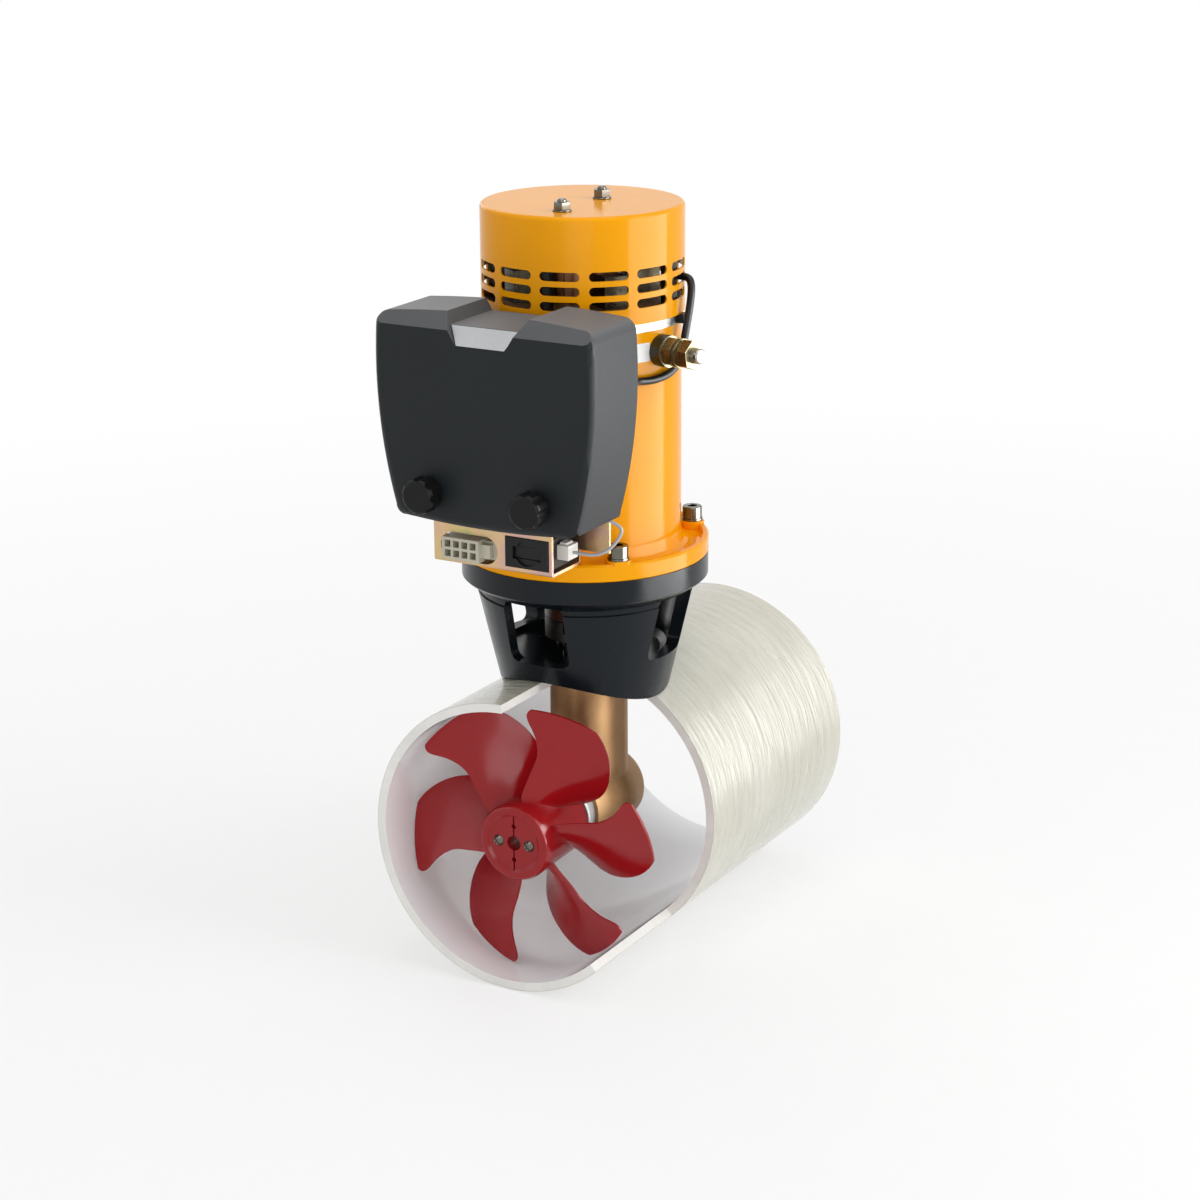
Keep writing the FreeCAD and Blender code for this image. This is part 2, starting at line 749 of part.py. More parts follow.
def make_intermediate_flange():
    lowest_z = math.sqrt(saddle_r ** 2 - flange_foot_r ** 2) - 4
    ledge_r = flange_outer_r(flange_ledge_z)
    shell = revolved_z([
        (0, lowest_z), (flange_outer_r(lowest_z), lowest_z),
        (ledge_r, flange_ledge_z), (ledge_r - flange_ledge, flange_ledge_z),
        (flange_neck_r - flange_ledge, flange_neck_z),
        (flange_rim_r - 1.5, flange_rim_z - 1.5), (flange_rim_r, flange_rim_z),
        (flange_rim_r, flange_top_z), (0, flange_top_z),
    ])
    hollow = revolved_z([
        (0, flange_floor_z), (flange_outer_r(flange_floor_z) - flange_wall - 3, flange_floor_z),
        (flange_outer_r(flange_floor_z + 4) - flange_wall, flange_floor_z + 4),
        (flange_outer_r(flange_roof_z - 10) - flange_wall, flange_roof_z - 6),
        (flange_mouth_r + 5, flange_roof_z), (flange_mouth_r, flange_roof_z),
        (flange_mouth_r, flange_top_z + 1), (0, flange_top_z + 1),
    ])
    saddle = cylinder(saddle_r, 400, Vector(0, -200, 0), Y_AXIS)
    window = block((30, -window_width / 2, window_low_z), (100, window_width / 2, window_high_z))
    long_edges = [edge for edge in window.Edges if abs(edge.Length - 70) < 0.01]
    window = window.makeFillet(window_corner_r, long_edges)
    body = shell.cut(hollow).cut(saddle)
    body = body.cut(ring_of(window, 4))
    body = body.cut(cylinder(leg_bearing_r + 1, 40, Vector(0, 0, flange_floor_z - 30)))
    body = body.cut(leg_section(socket_gap, 60, leg_top_z))
    for place in clamp_bolt_places():
        body = body.cut(cylinder(clamp_bolt_r + 0.3, 30, Vector(place.x, place.y, 90)))
    for place in flange_screw_places():
        foot = Vector(place.x, place.y, flange_top_z - screw_depth)
        body = body.cut(cylinder(screw_r, screw_depth, foot))
    return body


def make_saddle_seal():
    footprint = cylinder(flange_foot_r - 1.5, 120)
    skin = tube(saddle_r, tunnel_outer_r, 200, Vector(0, -100, 0), Y_AXIS)
    return skin.common(footprint).cut(leg_section(socket_gap, 0, 150))


def clamp_bolt_places():
    middle_y = leg_tail / 2
    return [
        Vector(0, -clamp_bolt_circle, 0), Vector(0, leg_tail + clamp_bolt_circle, 0),
        Vector(-clamp_bolt_circle, middle_y, 0), Vector(clamp_bolt_circle, middle_y, 0),
    ]


def make_clamp_bolts():
    bolts = []
    for place in clamp_bolt_places():
        washer = tube(6.2, clamp_bolt_r + 0.2, 1.6, Vector(place.x, place.y, flange_floor_z))
        head_z = flange_floor_z + 1.6
        head = hexagon(10.0, 4.4, Vector(place.x, place.y, head_z))
        shank = cylinder(clamp_bolt_r, head_z - clamp_bolt_low_z - 1,
                         Vector(place.x, place.y, clamp_bolt_low_z + 1))
        bolts += [washer, head.fuse(shank)]
    return gather(bolts)


# ---------------------------------------------------------------- coupling

def jaw_ring(half_deg, first_deg, low_z, high_z):
    jaw = sector(9.5, coupling_r, half_deg, low_z, high_z)
    return ring_of(jaw, coupling_jaws, Z_AXIS, first_deg)


def make_coupling_lower():
    hub = cylinder(coupling_hub_r - 2.5, coupling_floor_z - flange_floor_z - 1.5,
                   Vector(0, 0, flange_floor_z + 1.5))
    disc = cylinder(coupling_r, coupling_jaw_z - coupling_floor_z, Vector(0, 0, coupling_floor_z))
    jaws = jaw_ring(26, 0, coupling_jaw_z - 1, coupling_jaw_z + coupling_jaw_height - 0.5)
    body = hub.multiFuse([disc] + jaws)
    bore = cylinder(drive_shaft_r, drive_shaft_top_z - flange_floor_z, Vector(0, 0, flange_floor_z))
    return body.cut(bore)


def make_coupling_upper():
    low_z = coupling_jaw_z + coupling_jaw_height
    disc = cylinder(coupling_r, coupling_top_z - low_z, Vector(0, 0, low_z))
    jaws = jaw_ring(26, 60, coupling_jaw_z + 0.5, low_z + 1)
    body = disc.multiFuse(jaws)
    return body.cut(cylinder(motor_shaft_r, 60, Vector(0, 0, low_z + 0.5)))


def make_coupling_spider():
    low_z = coupling_jaw_z
    high_z = coupling_jaw_z + coupling_jaw_height
    core = cylinder(9.3, high_z - low_z, Vector(0, 0, low_z))
    arms = [turned(sector(5, coupling_r - 1, 3.7, low_z + 0.2, high_z - 0.2), 30 + 60 * index)
            for index in range(2 * coupling_jaws)]
    return core.multiFuse(arms)


# ---------------------------------------------------------------- motor

def flange_screw_places():
    return [polar(screw_circle_r, screw_first_deg + 90 * index) for index in range(4)]


def make_motor_base():
    """Yellow casting: mounting flange, drive-end shield and lower bearing seat."""
    spigot_r = flange_mouth_r - running_gap
    rim_inner_r = base_r - base_rim_width
    register_r = yoke_r - yoke_wall
    body = revolved_z([
        (0, base_spigot_z), (spigot_r, base_spigot_z), (spigot_r, flange_top_z),
        (base_r - 0.8, flange_top_z), (base_r, flange_top_z + 0.8),
        (base_r, base_rim_top_z - 1.2), (base_r - 1.2, base_rim_top_z),
        (rim_inner_r + 1.0, base_rim_top_z), (rim_inner_r, base_rim_top_z - 1.0),
        (rim_inner_r, base_dish_z), (yoke_r + 5, base_dish_z),
        (yoke_r + 2.2, base_dish_z + 1.6), (yoke_r + 0.6, base_dish_z + 4.6),
        (yoke_r - 0.2, base_step_z), (register_r, base_step_z), (register_r, base_step_z + 4),
        (register_r - 5, base_step_z + 4), (register_r - 8, base_floor_z), (0, base_floor_z),
    ])
    outside = cylinder(base_r, boss_top_z - flange_top_z, Vector(0, 0, flange_top_z))
    bosses = [cylinder(screw_head_r + 1.7, boss_top_z - base_dish_z + 1,
                       Vector(place.x, place.y, base_dish_z - 1)).common(outside)
              for place in flange_screw_places()]
    body = body.multiFuse(bosses)
    seat = cylinder(lower_bearing_r, lower_bearing_width + 10, Vector(0, 0, lower_bearing_z))
    body = body.cut(seat).cut(cylinder(motor_core_shaft_r, 60, Vector(0, 0, base_spigot_z - 1)))
    for place in flange_screw_places():
        body = body.cut(cylinder(screw_r + 0.3, 40, Vector(place.x, place.y, flange_top_z - 1)))
    return body


def make_flange_screws():
    screws = []
    for place in flange_screw_places():
        washer = tube(screw_head_r + 0.5, screw_r + 0.3, 1.6, Vector(place.x, place.y, boss_top_z))
        head_z = boss_top_z + 1.6
        head = cylinder(screw_head_r, screw_head_height, Vector(place.x, place.y, head_z))
        rim = max(head.Edges, key=lambda edge: edge.CenterOfMass.z)
        head = head.makeFillet(0.8, [rim])
        foot_z = flange_top_z - screw_depth
        shank = cylinder(screw_r, head_z - foot_z, Vector(place.x, place.y, foot_z))
        socket = hexagon(6.0, 5.0, Vector(place.x, place.y, head_z + screw_head_height - 4.0))
        screws += [washer, head.fuse(shank).cut(socket)]
    return gather(screws)


def yoke_pads():
    """Welded pads that carry the upright plate of the bracket."""
    return [block((-9, plate_y, z - 9), (9, -yoke_r + yoke_wall / 2, z + 9))
            for z in bracket_screw_heights]


def make_yoke():
    height = yoke_top_z - base_step_z
    shell = tube(yoke_r, yoke_r - yoke_wall, height, Vector(0, 0, base_step_z))
    body = shell.multiFuse(yoke_pads()).cut(
        cylinder(yoke_r - yoke_wall, height + 20, Vector(0, 0, base_step_z - 1)))
    for z in bracket_screw_heights:
        body = body.cut(cylinder(3.0, 12, Vector(0, plate_y - 1, z), Y_AXIS))
    direction = polar(1, terminal_deg)
    start = polar(yoke_r - yoke_wall - 2, terminal_deg, terminal_z)
    return body.cut(cylinder(terminal_stud_r + 2, yoke_wall + 8, start, direction))


def make_pole_shoes():
    shoe = sector(core_r + air_gap, yoke_r - yoke_wall, 24, core_low_z, core_high_z)
    return gather(ring_of(shoe, 4, Z_AXIS, 45))


def make_field_coils():
    outer_r = yoke_r - yoke_wall - 0.8
    coil = sector(core_r + 6, outer_r, 38, core_low_z - coil_overhang,
                  core_high_z + coil_overhang)
    window = sector(core_r + 5, outer_r + 1, 24.4, core_low_z - 0.2, core_high_z + 0.2)
    return gather(ring_of(coil.cut(window), 4, Z_AXIS, 45))


def make_armature_core():
    core = tube(core_r, motor_core_shaft_r, core_high_z - core_low_z, Vector(0, 0, core_low_z))
    slot = block((core_r - core_slot_depth, -1.5, core_low_z - 1), (core_r + 1, 1.5, core_high_z + 1))
    return core.cut(ring_of(slot, core_slots))


def make_windings():
    low = revolved_z([
        (motor_core_shaft_r + 4, core_low_z), (core_r - 2, core_low_z), (core_r - 5, core_low_z - 11),
        (motor_core_shaft_r + 8, core_low_z - 13),
    ])
    high = revolved_z([
        (motor_core_shaft_r + 4, core_high_z), (core_r - 2, core_high_z),
        (core_r - 5, core_high_z + 13), (commutator_r + 1, commutator_low_z - 4),
        (motor_core_shaft_r + 4, commutator_low_z - 4),
    ])
    bar_r = core_r - core_slot_depth + 0.2
    bar = block((bar_r, -1.4, core_low_z), (core_r - 1.0, 1.4, core_high_z))
    return gather([low, high] + ring_of(bar, core_slots))


def make_commutator():
    height = commutator_high_z - commutator_low_z
    drum = tube(commutator_r, motor_core_shaft_r, height, Vector(0, 0, commutator_low_z))
    riser = tube(commutator_r + 2.5, motor_core_shaft_r, 4, Vector(0, 0, commutator_low_z - 4))
    gap = block((commutator_r - 1.5, -0.4, commutator_low_z), (commutator_r + 1, 0.4, 400))
    return drum.cut(ring_of(gap, commutator_bars)).fuse(riser)


def make_end_shield():
    """Commutator-end casting: band, four posts and the bridge with the upper bearing."""
    band = tube(shield_r, shield_inner_r, shield_top_z - yoke_top_z, Vector(0, 0, yoke_top_z))
    spigot = tube(yoke_r - yoke_wall - running_gap, shield_inner_r, 5.0,
                  Vector(0, 0, yoke_top_z - 5.0))
    bridge_r = cap_r - cap_sheet - 1.0
    post = block((bridge_r - 6.5, -post_width / 2, shield_top_z - 1),
                 (bridge_r + 5, post_width / 2, bridge_low_z + 1))
    post = post.common(cylinder(bridge_r, 60, Vector(0, 0, shield_top_z - 1)))
    bridge = cylinder(bridge_r, bridge_top_z - bridge_low_z, Vector(0, 0, bridge_low_z))
    boss_z = upper_bearing_z - 1
    boss = cylinder(upper_bearing_r + 5, bridge_low_z - boss_z + 1, Vector(0, 0, boss_z))
    body = band.multiFuse([spigot, bridge, boss] + ring_of(post, 4, Z_AXIS, post_deg))
    seat_height = upper_bearing_z + upper_bearing_width - boss_z
    body = body.cut(cylinder(upper_bearing_r, seat_height, Vector(0, 0, boss_z)))
    vent = sector(upper_bearing_r + 9, bridge_r - 8, 20, bridge_low_z - 1, bridge_top_z + 1)
    body = body.cut(ring_of(vent, 4, Z_AXIS, post_deg + 45))
    for x, y in cap_stud_places:
        body = body.cut(cylinder(cap_stud_r, 5, Vector(x, y, bridge_top_z - cap_stud_hold)))
    return body


def make_cap():
    shell = cylinder(cap_r, cap_top_z - shield_band_z, Vector(0, 0, shield_band_z))
    top_edge = max(shell.Edges, key=lambda edge: edge.CenterOfMass.z)
    shell = shell.makeFillet(cap_edge_r, [top_edge])
    inside = cylinder(cap_r - cap_sheet, cap_top_z - cap_sheet - shield_band_z + 1,
                      Vector(0, 0, shield_band_z - 1))
    inner_edge = max(inside.Edges, key=lambda edge: edge.CenterOfMass.z)
    inside = inside.makeFillet(cap_edge_r - cap_sheet, [inner_edge])
    body = shell.cut(inside)
    slots = []
    for z in slot_rows_z:
        slot = obround(slot_length, slot_height, 15)
        slot.translate(Vector(cap_r - 9, 0, z))
        slots += ring_of(slot, slot_columns, Z_AXIS, slot_first_deg)
    for x, y in cap_stud_places:
        slots.append(cylinder(cap_stud_r + 0.3, 10, Vector(x, y, cap_top_z - 5)))
    return body.cut(slots)


def make_cap_studs():
    studs = []
    for x, y in cap_stud_places:
        foot_z = bridge_top_z - cap_stud_hold
        stud = cylinder(cap_stud_r, cap_stud_top_z - foot_z, Vector(x, y, foot_z))
        tip = max(stud.Edges, key=lambda edge: edge.CenterOfMass.z)
        studs.append(stud.makeChamfer(0.8, [tip]))
    return gather(studs)


def make_cap_nuts():
    nuts = []
    for x, y in cap_stud_places:
        for seat_z, facing in ((cap_top_z, 1), (cap_top_z - cap_sheet, -1)):
            washer_z = seat_z if facing > 0 else seat_z - 1.2
            nut_z = seat_z + 1.2 if facing > 0 else seat_z - 1.2 - 4.8
            nuts.append(tube(6.0, cap_stud_r, 1.2, Vector(x, y, washer_z)))
            nuts.append(hexagon(10.0, 4.8, Vector(x, y, nut_z)).cut(
                cylinder(cap_stud_r, 6, Vector(x, y, nut_z - 0.5))))
    return gather(nuts)


def make_brush_ring():
    """Insulating ring that carries the brush holders."""
    height = 2.5
    ring_z = shield_top_z
    ring = tube(cap_r - cap_sheet - 8.2, commutator_r + 6, height, Vector(0, 0, ring_z))
    return ring


def radial_block(near_r, far_r, width, low_z, high_z, degrees):
    return turned(block((near_r, -width / 2, low_z), (far_r, width / 2, high_z)), degrees)


def make_brushes():
    face = cylinder(commutator_r + running_gap, 100, Vector(0, 0, commutator_low_z - 10))
    brushes = []
    for index in range(4):
        brush = radial_block(commutator_r - 2, commutator_r + brush_length, brush_width,
                             brush_low_z, brush_low_z + brush_height, brush_deg + 90 * index)
        brushes.append(brush.cut(face))
    return gather(brushes)


def make_brush_holders():
    holders = []
    for index in range(4):
        turn = brush_deg + 90 * index
        width = brush_width + 2 * holder_wall
        shell = radial_block(commutator_r + 4, commutator_r + 27, width + 0.1,
                             shield_top_z + 2.5, brush_low_z + brush_height + holder_wall + 0.1, turn)
        way = radial_block(commutator_r, commutator_r + 22, brush_width + 0.1,
                           brush_low_z - 0.05, brush_low_z + brush_height + 0.05, turn)
        holders.append(shell.cut(way))
    return gather(holders)


def make_brush_springs():
    """Coil springs between the closed end of each holder and its brush."""
    springs = []
    for index in range(4):
        turn = brush_deg + 90 * index
        start = polar(commutator_r + brush_length, turn, brush_low_z + brush_height / 2)
        reach = 22 - brush_length
        springs.append(tube(4.0, 3.0, reach, start, polar(1, turn)))
    return gather(springs)


# ---------------------------------------------------------------- terminal

def terminal_piece(kind, start_r, end_r, size):
    direction = polar(1, terminal_deg)
    base = polar(start_r, terminal_deg, terminal_z)
    hole = cylinder(terminal_stud_r, end_r - start_r + 2, base - direction, direction)
    if kind == "nut":
        return hexagon(size, end_r - start_r, base, direction).cut(hole)
    return cylinder(size, end_r - start_r, base, direction).cut(hole)


def make_terminal_stud():
    start_r = yoke_r - yoke_wall + 0.5
    start = polar(start_r, terminal_deg, terminal_z)
    stud = cylinder(terminal_stud_r, terminal_end_r - start_r, start, polar(1, terminal_deg))
    tip = max(stud.Edges, key=lambda edge: edge.CenterOfMass.Length)
    return stud.makeChamfer(1.0, [tip])


def make_terminal_insulator():
    direction = polar(1, terminal_deg)
    collar_start = polar(yoke_r - 6, terminal_deg, terminal_z)
    disc = cylinder(10.4, 12.6, collar_start, direction).cut(cylinder(yoke_r, 400))
    bush_start = polar(yoke_r - yoke_wall + 0.8, terminal_deg, terminal_z)
    bush = cylinder(terminal_stud_r + 2, 8, bush_start, direction)
    return disc.fuse(bush).cut(cylinder(terminal_stud_r, 40, collar_start - direction * 5, direction))


def make_terminal_nuts():
    start = yoke_r + 6.6
    stack = (("washer", 1.8, 10.3), ("nut", 5.0, 17.0), ("washer", 1.6, 9.6), ("washer", 1.6, 8.6),
             ("washer", 1.6, 9.6), ("washer", 1.8, 8.2), ("nut", 7.0, 17.0))
    pieces = []
    for kind, thickness, size in stack:
        pieces.append(terminal_piece(kind, start, start + thickness, size))
        start += thickness
    return gather(pieces)


# ---------------------------------------------------------------- control bracket

def make_bracket():
    upright = block((-plate_half, plate_front_y, shelf_z + sheet + 8), (plate_half, plate_y, plate_top_z))
    foot = block((panel_left_x, plate_front_y, shelf_z), (panel_right_x, plate_y, shelf_z + sheet + 9))
    shelf = block((panel_left_x, panel_y, shelf_z), (panel_right_x, plate_y, shelf_z + sheet))
    panel = block((panel_left_x, panel_y, shelf_z), (panel_right_x, panel_y + sheet, panel_top_z))
    corner = [edge for edge in panel.Edges if abs(edge.Length - sheet) < 0.01
              and edge.CenterOfMass.z > panel_top_z - 1]
    panel = panel.makeFillet(4.0, corner)
    body = upright.multiFuse([foot, shelf, panel]).removeSplitter()
    bends = [edge for edge in body.Edges
             if edge.Length > 80 and abs(edge.CenterOfMass.z - shelf_z) < 0.01
             and abs(edge.CenterOfMass.y - panel_y) < 0.01]
    body = body.makeFillet(1.8, bends)
    hole = obround(plug_hole_right_x - plug_hole_left_x, plug_hole_height, 10)
    hole = turned(hole, -90)
    hole.translate(Vector((plug_hole_left_x + plug_hole_right_x) / 2, panel_y + 6, plug_z))
    body = body.cut(hole)
    body = body.cut(block((fuse_left_x, panel_y - 1, fuse_low_z),
                          (fuse_right_x, panel_y + sheet + 1, fuse_high_z)))
    for z in bracket_screw_heights:
        body = body.cut(cylinder(3.3, 10, Vector(0, plate_front_y - 4, z), Y_AXIS))
    for x in (-knob_x, knob_x):
        body = body.cut(cylinder(cover_stud_r, 10, Vector(x, plate_front_y - 4, knob_z), Y_AXIS))
    return body


def make_bracket_screws():
    screws = []
    for z in bracket_screw_heights:
        head_y = plate_front_y - 4.5
        head = hexagon(10.0, 4.5, Vector(0, head_y, z), Y_AXIS)
        shank = cylinder(3.0, plate_y + 9 - plate_front_y, Vector(0, plate_front_y, z), Y_AXIS)
        inner = cylinder(yoke_r - yoke_wall + 0.5, 400)
        screws.append(head.fuse(shank).cut(inner))
    return gather(screws)


def make_connector():
    """Eight-way plug housing, two rows of four, held in the panel."""
    width = plug_ways * plug_pitch + 2.4
    height = 2 * plug_pitch + 2.0
    low = (plug_left_x, panel_y - 6, plug_z - height / 2)
    high = (plug_left_x + width, panel_y + 16, plug_z + height / 2)
    body = block(low, high)
    wing = block((plug_left_x + width, panel_y - 2.5, plug_z - 4.5),
                 (plug_hole_right_x - 4, panel_y + 10, plug_z + 4.5))
    ear = block((plug_hole_left_x - 3, panel_y + sheet, plug_z - 6),
                (plug_hole_right_x + 2.5, panel_y + sheet + 3, plug_z + 6))
    body = body.multiFuse([wing, ear])
    cells = []
    for row in range(2):
        for column in range(plug_ways):
            x = plug_left_x + 1.2 + plug_pitch * (column + 0.5)
            z = low[2] + 1.0 + plug_pitch * (row + 0.5)
            cells.append(block((x - 2.2, panel_y - 7, z - 2.2), (x + 2.2, panel_y + 4, z + 2.2)))
    return body.cut(cells)


fuse_centre_x = (fuse_left_x + fuse_right_x) / 2
fuse_centre_z = (fuse_low_z + fuse_high_z) / 2
fuse_slot_half_x = 10.0
fuse_slot_half_z = 4.0
fuse_pocket_y = panel_y + 12


def make_fuse_holder():
    gap = 0.2
    body = block((fuse_left_x + gap, panel_y - 0.8, fuse_low_z + gap),
                 (fuse_right_x - gap, panel_y + 24, fuse_high_z - gap))
    dish = cylinder(8.2, 2.8, Vector(fuse_centre_x, panel_y - 1.8, fuse_centre_z), Y_AXIS)
    pocket = block((fuse_centre_x - fuse_slot_half_x, panel_y - 1.8, fuse_centre_z - fuse_slot_half_z),
                   (fuse_centre_x + fuse_slot_half_x, fuse_pocket_y, fuse_centre_z + fuse_slot_half_z))
    blades = block((fuse_centre_x - 8, fuse_pocket_y - 1, fuse_centre_z - 1.2),
                   (fuse_centre_x + 8, fuse_pocket_y + 9, fuse_centre_z + 1.2))
    return body.cut([dish, pocket, blades])


def make_fuse():
    """Plug-in strip fuse with two blades."""
    clear = 0.15
    front_y = panel_y + 1.5
    body = block((fuse_centre_x - fuse_slot_half_x + clear, front_y,
                  fuse_centre_z - fuse_slot_half_z + clear),
                 (fuse_centre_x + fuse_slot_half_x - clear, fuse_pocket_y - slide_gap,
                  fuse_centre_z + fuse_slot_half_z - clear))
    prongs = [block((x - 2.2, fuse_pocket_y - slide_gap - 1, fuse_centre_z - 0.6),
                    (x + 2.2, fuse_pocket_y + 8, fuse_centre_z + 0.6))
              for x in (fuse_centre_x - 5, fuse_centre_x + 5)]
    return body.multiFuse(prongs)


def make_lead_plug():
    """White in-line connector at the side of the fuse holder."""
    left_x = fuse_right_x - 0.2
    body = block((left_x, panel_y + 10, fuse_low_z + 6), (left_x + 8.5, panel_y + 22, fuse_low_z + 15.5))
    latch = block((left_x + 1, panel_y + 12, fuse_low_z + 15.5), (left_x + 6, panel_y + 20, fuse_low_z + 17))
    return body.fuse(latch)


# ---------------------------------------------------------------- relays

def make_relays():
    relays = []
    for side in (-1, 1):
        centre = Vector(side * relay_x, relay_y, relay_low_z)
        can = cylinder(relay_r, relay_high_z - relay_low_z, centre)
        lid = cylinder(relay_r - 2, 7, centre + Z_AXIS * (relay_high_z - relay_low_z - 0.5))
        foot = block((side * relay_x - 14, relay_y + 8, relay_low_z + 12),
                     (side * relay_x + 14, plate_front_y, relay_high_z - 12))
        terminals = []
        for place in relay_stud_places(side):
            terminals.append(cylinder(3.0, 15, place))
            terminals.append(hexagon(10.0, 4.0, place + Z_AXIS * (bar_thickness + 2)))
            terminals.append(cylinder(5.0, 2.0, place))
        relays.append(can.multiFuse([lid, foot] + terminals))
    return gather(relays)


relay_lid_z = relay_high_z + 6.5
bar_thickness = 3.0


def relay_stud_places(side):
    return [Vector(side * relay_x + offset, relay_y, relay_lid_z) for offset in (-9, 9)]


def make_bus_bars():
    """Copper bars over the relays: one joins them and two lead to the motor."""
    low_z = relay_lid_z + 2.0
    inner = block((-relay_x + 3, relay_y - 5, low_z), (relay_x - 3, relay_y + 5, low_z + bar_thickness))
    bars = [inner]
    for side in (-1, 1):
        far = side * (relay_x + 9)
        near_x, far_x = sorted((far - side * 6, far + side * 6))
        bars.append(block((near_x, relay_y - 5, low_z), (far_x, plate_front_y, low_z + bar_thickness)))
    cut = [cylinder(3.0, 20, place) for side in (-1, 1) for place in relay_stud_places(side)]
    return gather([bar.cut(cut) for bar in bars])


# ---------------------------------------------------------------- cover

def cover_outline(inset, y):
    """Closed outline of the cover at this station, drawn in by inset."""
    half = cover_half - inset
    waist = cover_waist_half - inset
    foot = cover_foot_half - inset
    low = cover_low_z + inset
    corner = cover_corner_z + inset
    middle_top = cover_top_z - inset
    top = middle_top - cover_crown
    top_r = max(cover_corner_r - inset, 1.5)
    round_r = cover_corner_r
    side_top = top - top_r
    slant = top_r * (1 - math.sqrt(0.5))
    right = [
        Part.Arc(Vector(foot, y, corner + round_r * 0.6), Vector(waist, y, cover_waist_z),
                 Vector(half, y, side_top)),
        Part.Arc(Vector(half, y, side_top), Vector(half - slant, y, top - slant),
                 Vector(half - top_r, y, top)),
        Part.Arc(Vector(half - top_r, y, top), Vector(0, y, middle_top), Vector(top_r - half, y, top)),
        Part.Arc(Vector(top_r - half, y, top), Vector(slant - half, y, top - slant),
                 Vector(-half, y, side_top)),
        Part.Arc(Vector(-half, y, side_top), Vector(-waist, y, cover_waist_z),
                 Vector(-foot, y, corner + round_r * 0.6)),
        Part.Arc(Vector(-foot, y, corner + round_r * 0.6), Vector(-foot + 1.6, y, corner + 1.2),
                 Vector(-foot + round_r * 0.8, y, corner - 0.8)),
        Part.Arc(Vector(-foot + round_r * 0.8, y, corner - 0.8), Vector(0, y, low),
                 Vector(foot - round_r * 0.8, y, corner - 0.8)),
        Part.Arc(Vector(foot - round_r * 0.8, y, corner - 0.8), Vector(foot - 1.6, y, corner + 1.2),
                 Vector(foot, y, corner + round_r * 0.6)),
    ]
    return Part.Wire([curve.toShape() for curve in right])


cover_rear_y = plate_front_y - slide_gap


def valley_tool(grow):
    """Trapezoid channel across the top of the cover, grown on all sides."""
    front_y = cover_front_y - 5
    slope_top_y = cover_front_y + valley_slope_run
    fall = (valley_floor_z - valley_foot_z) / valley_slope_run
    side_view = [
        Vector(-100, 10, valley_floor_z - grow), Vector(-100, slope_top_y, valley_floor_z - grow),
        Vector(-100, cover_front_y, valley_foot_z - grow),
        Vector(-100, front_y, valley_foot_z - grow - 5 * fall),
        Vector(-100, front_y, cover_top_z + 20), Vector(-100, 10, cover_top_z + 20),
    ]
    along = Part.Face(Part.makePolygon(side_view + side_view[:1])).extrude(X_AXIS * 200)
    if grow:
        along.translate(Y_AXIS * grow)
    low_z = valley_foot_z - 40
    high_z = cover_top_z + 30
    low_half = valley_foot_half + grow - 40 * valley_lean
    high_half = valley_foot_half + grow + (high_z - valley_foot_z) * valley_lean
    front_view = [
        Vector(-low_half, -300, low_z), Vector(low_half, -300, low_z),
        Vector(high_half, -300, high_z), Vector(-high_half, -300, high_z),
    ]
    across = Part.Face(Part.makePolygon(front_view + front_view[:1])).extrude(Y_AXIS * 400)
    return along.common(across)


def make_cover():
    stations = []
    for turn in (0, 30, 60, 90):
        angle = math.radians(turn)
        inset = cover_front_round * (1 - math.sin(angle))
        stations.append(cover_outline(inset, cover_front_y + cover_front_round * (1 - math.cos(angle))))
    stations.append(cover_outline(0, cover_rear_y))
    shell = Part.makeLoft(stations, True, True)
    bevel_low = cover_top_z - cover_bevel
    wedge = Part.Face(Part.makePolygon([
        Vector(-200, cover_front_y - 5, bevel_low - 5), Vector(-200, cover_front_y + 20, bevel_low + 20),
        Vector(-200, cover_front_y - 5, bevel_low + 20),
        Vector(-200, cover_front_y - 5, bevel_low - 5)])).extrude(X_AXIS * 400)
    shell = shell.cut(wedge)
    depth = cover_rear_y - cover_front_y
    cavity = Part.Face(cover_outline(cover_wall, cover_front_y + cover_wall)).extrude(Y_AXIS * depth)
    cavity = cavity.cut(valley_tool(cover_wall))
    lift = Vector(0, cover_wall * 1.5, 0)
    wedge.translate(lift)
    cavity = cavity.cut(wedge)
    shell = shell.cut(cavity).cut(valley_tool(0))
    clear = 3.0
    shell = shell.cut(block((panel_left_x - clear, cover_front_y + cover_wall, cover_low_z - 5),
                            (panel_right_x + clear + 26, 0, cover_corner_z + cover_wall + 2)))
    for x in (-knob_x, knob_x):
        shell = shell.cut(cylinder(cover_stud_r + 0.4, 30, Vector(x, cover_front_y - 10, knob_z), Y_AXIS))
    return shell


def make_badge():
    """Plain plate on the sloping end of the valley."""
    margin = 0.5
    slope = Vector(0, valley_slope_run, valley_floor_z - valley_foot_z)
    length = slope.Length
    unit = slope.normalize()
    normal = Vector(0, -unit.z, unit.y)
    foot = Vector(0, cover_front_y, valley_foot_z)
    start = foot + unit * (margin + 0.8)
    end = foot + unit * (length - margin)
    corners = []
    for place, side in ((start, -1), (start, 1), (end, 1), (end, -1)):
        half = valley_foot_half - margin + (place.z - valley_foot_z) * valley_lean
        corners.append(Vector(side * half, place.y, place.z))
    return Part.Face(Part.makePolygon(corners + corners[:1])).extrude(normal * badge_thickness)


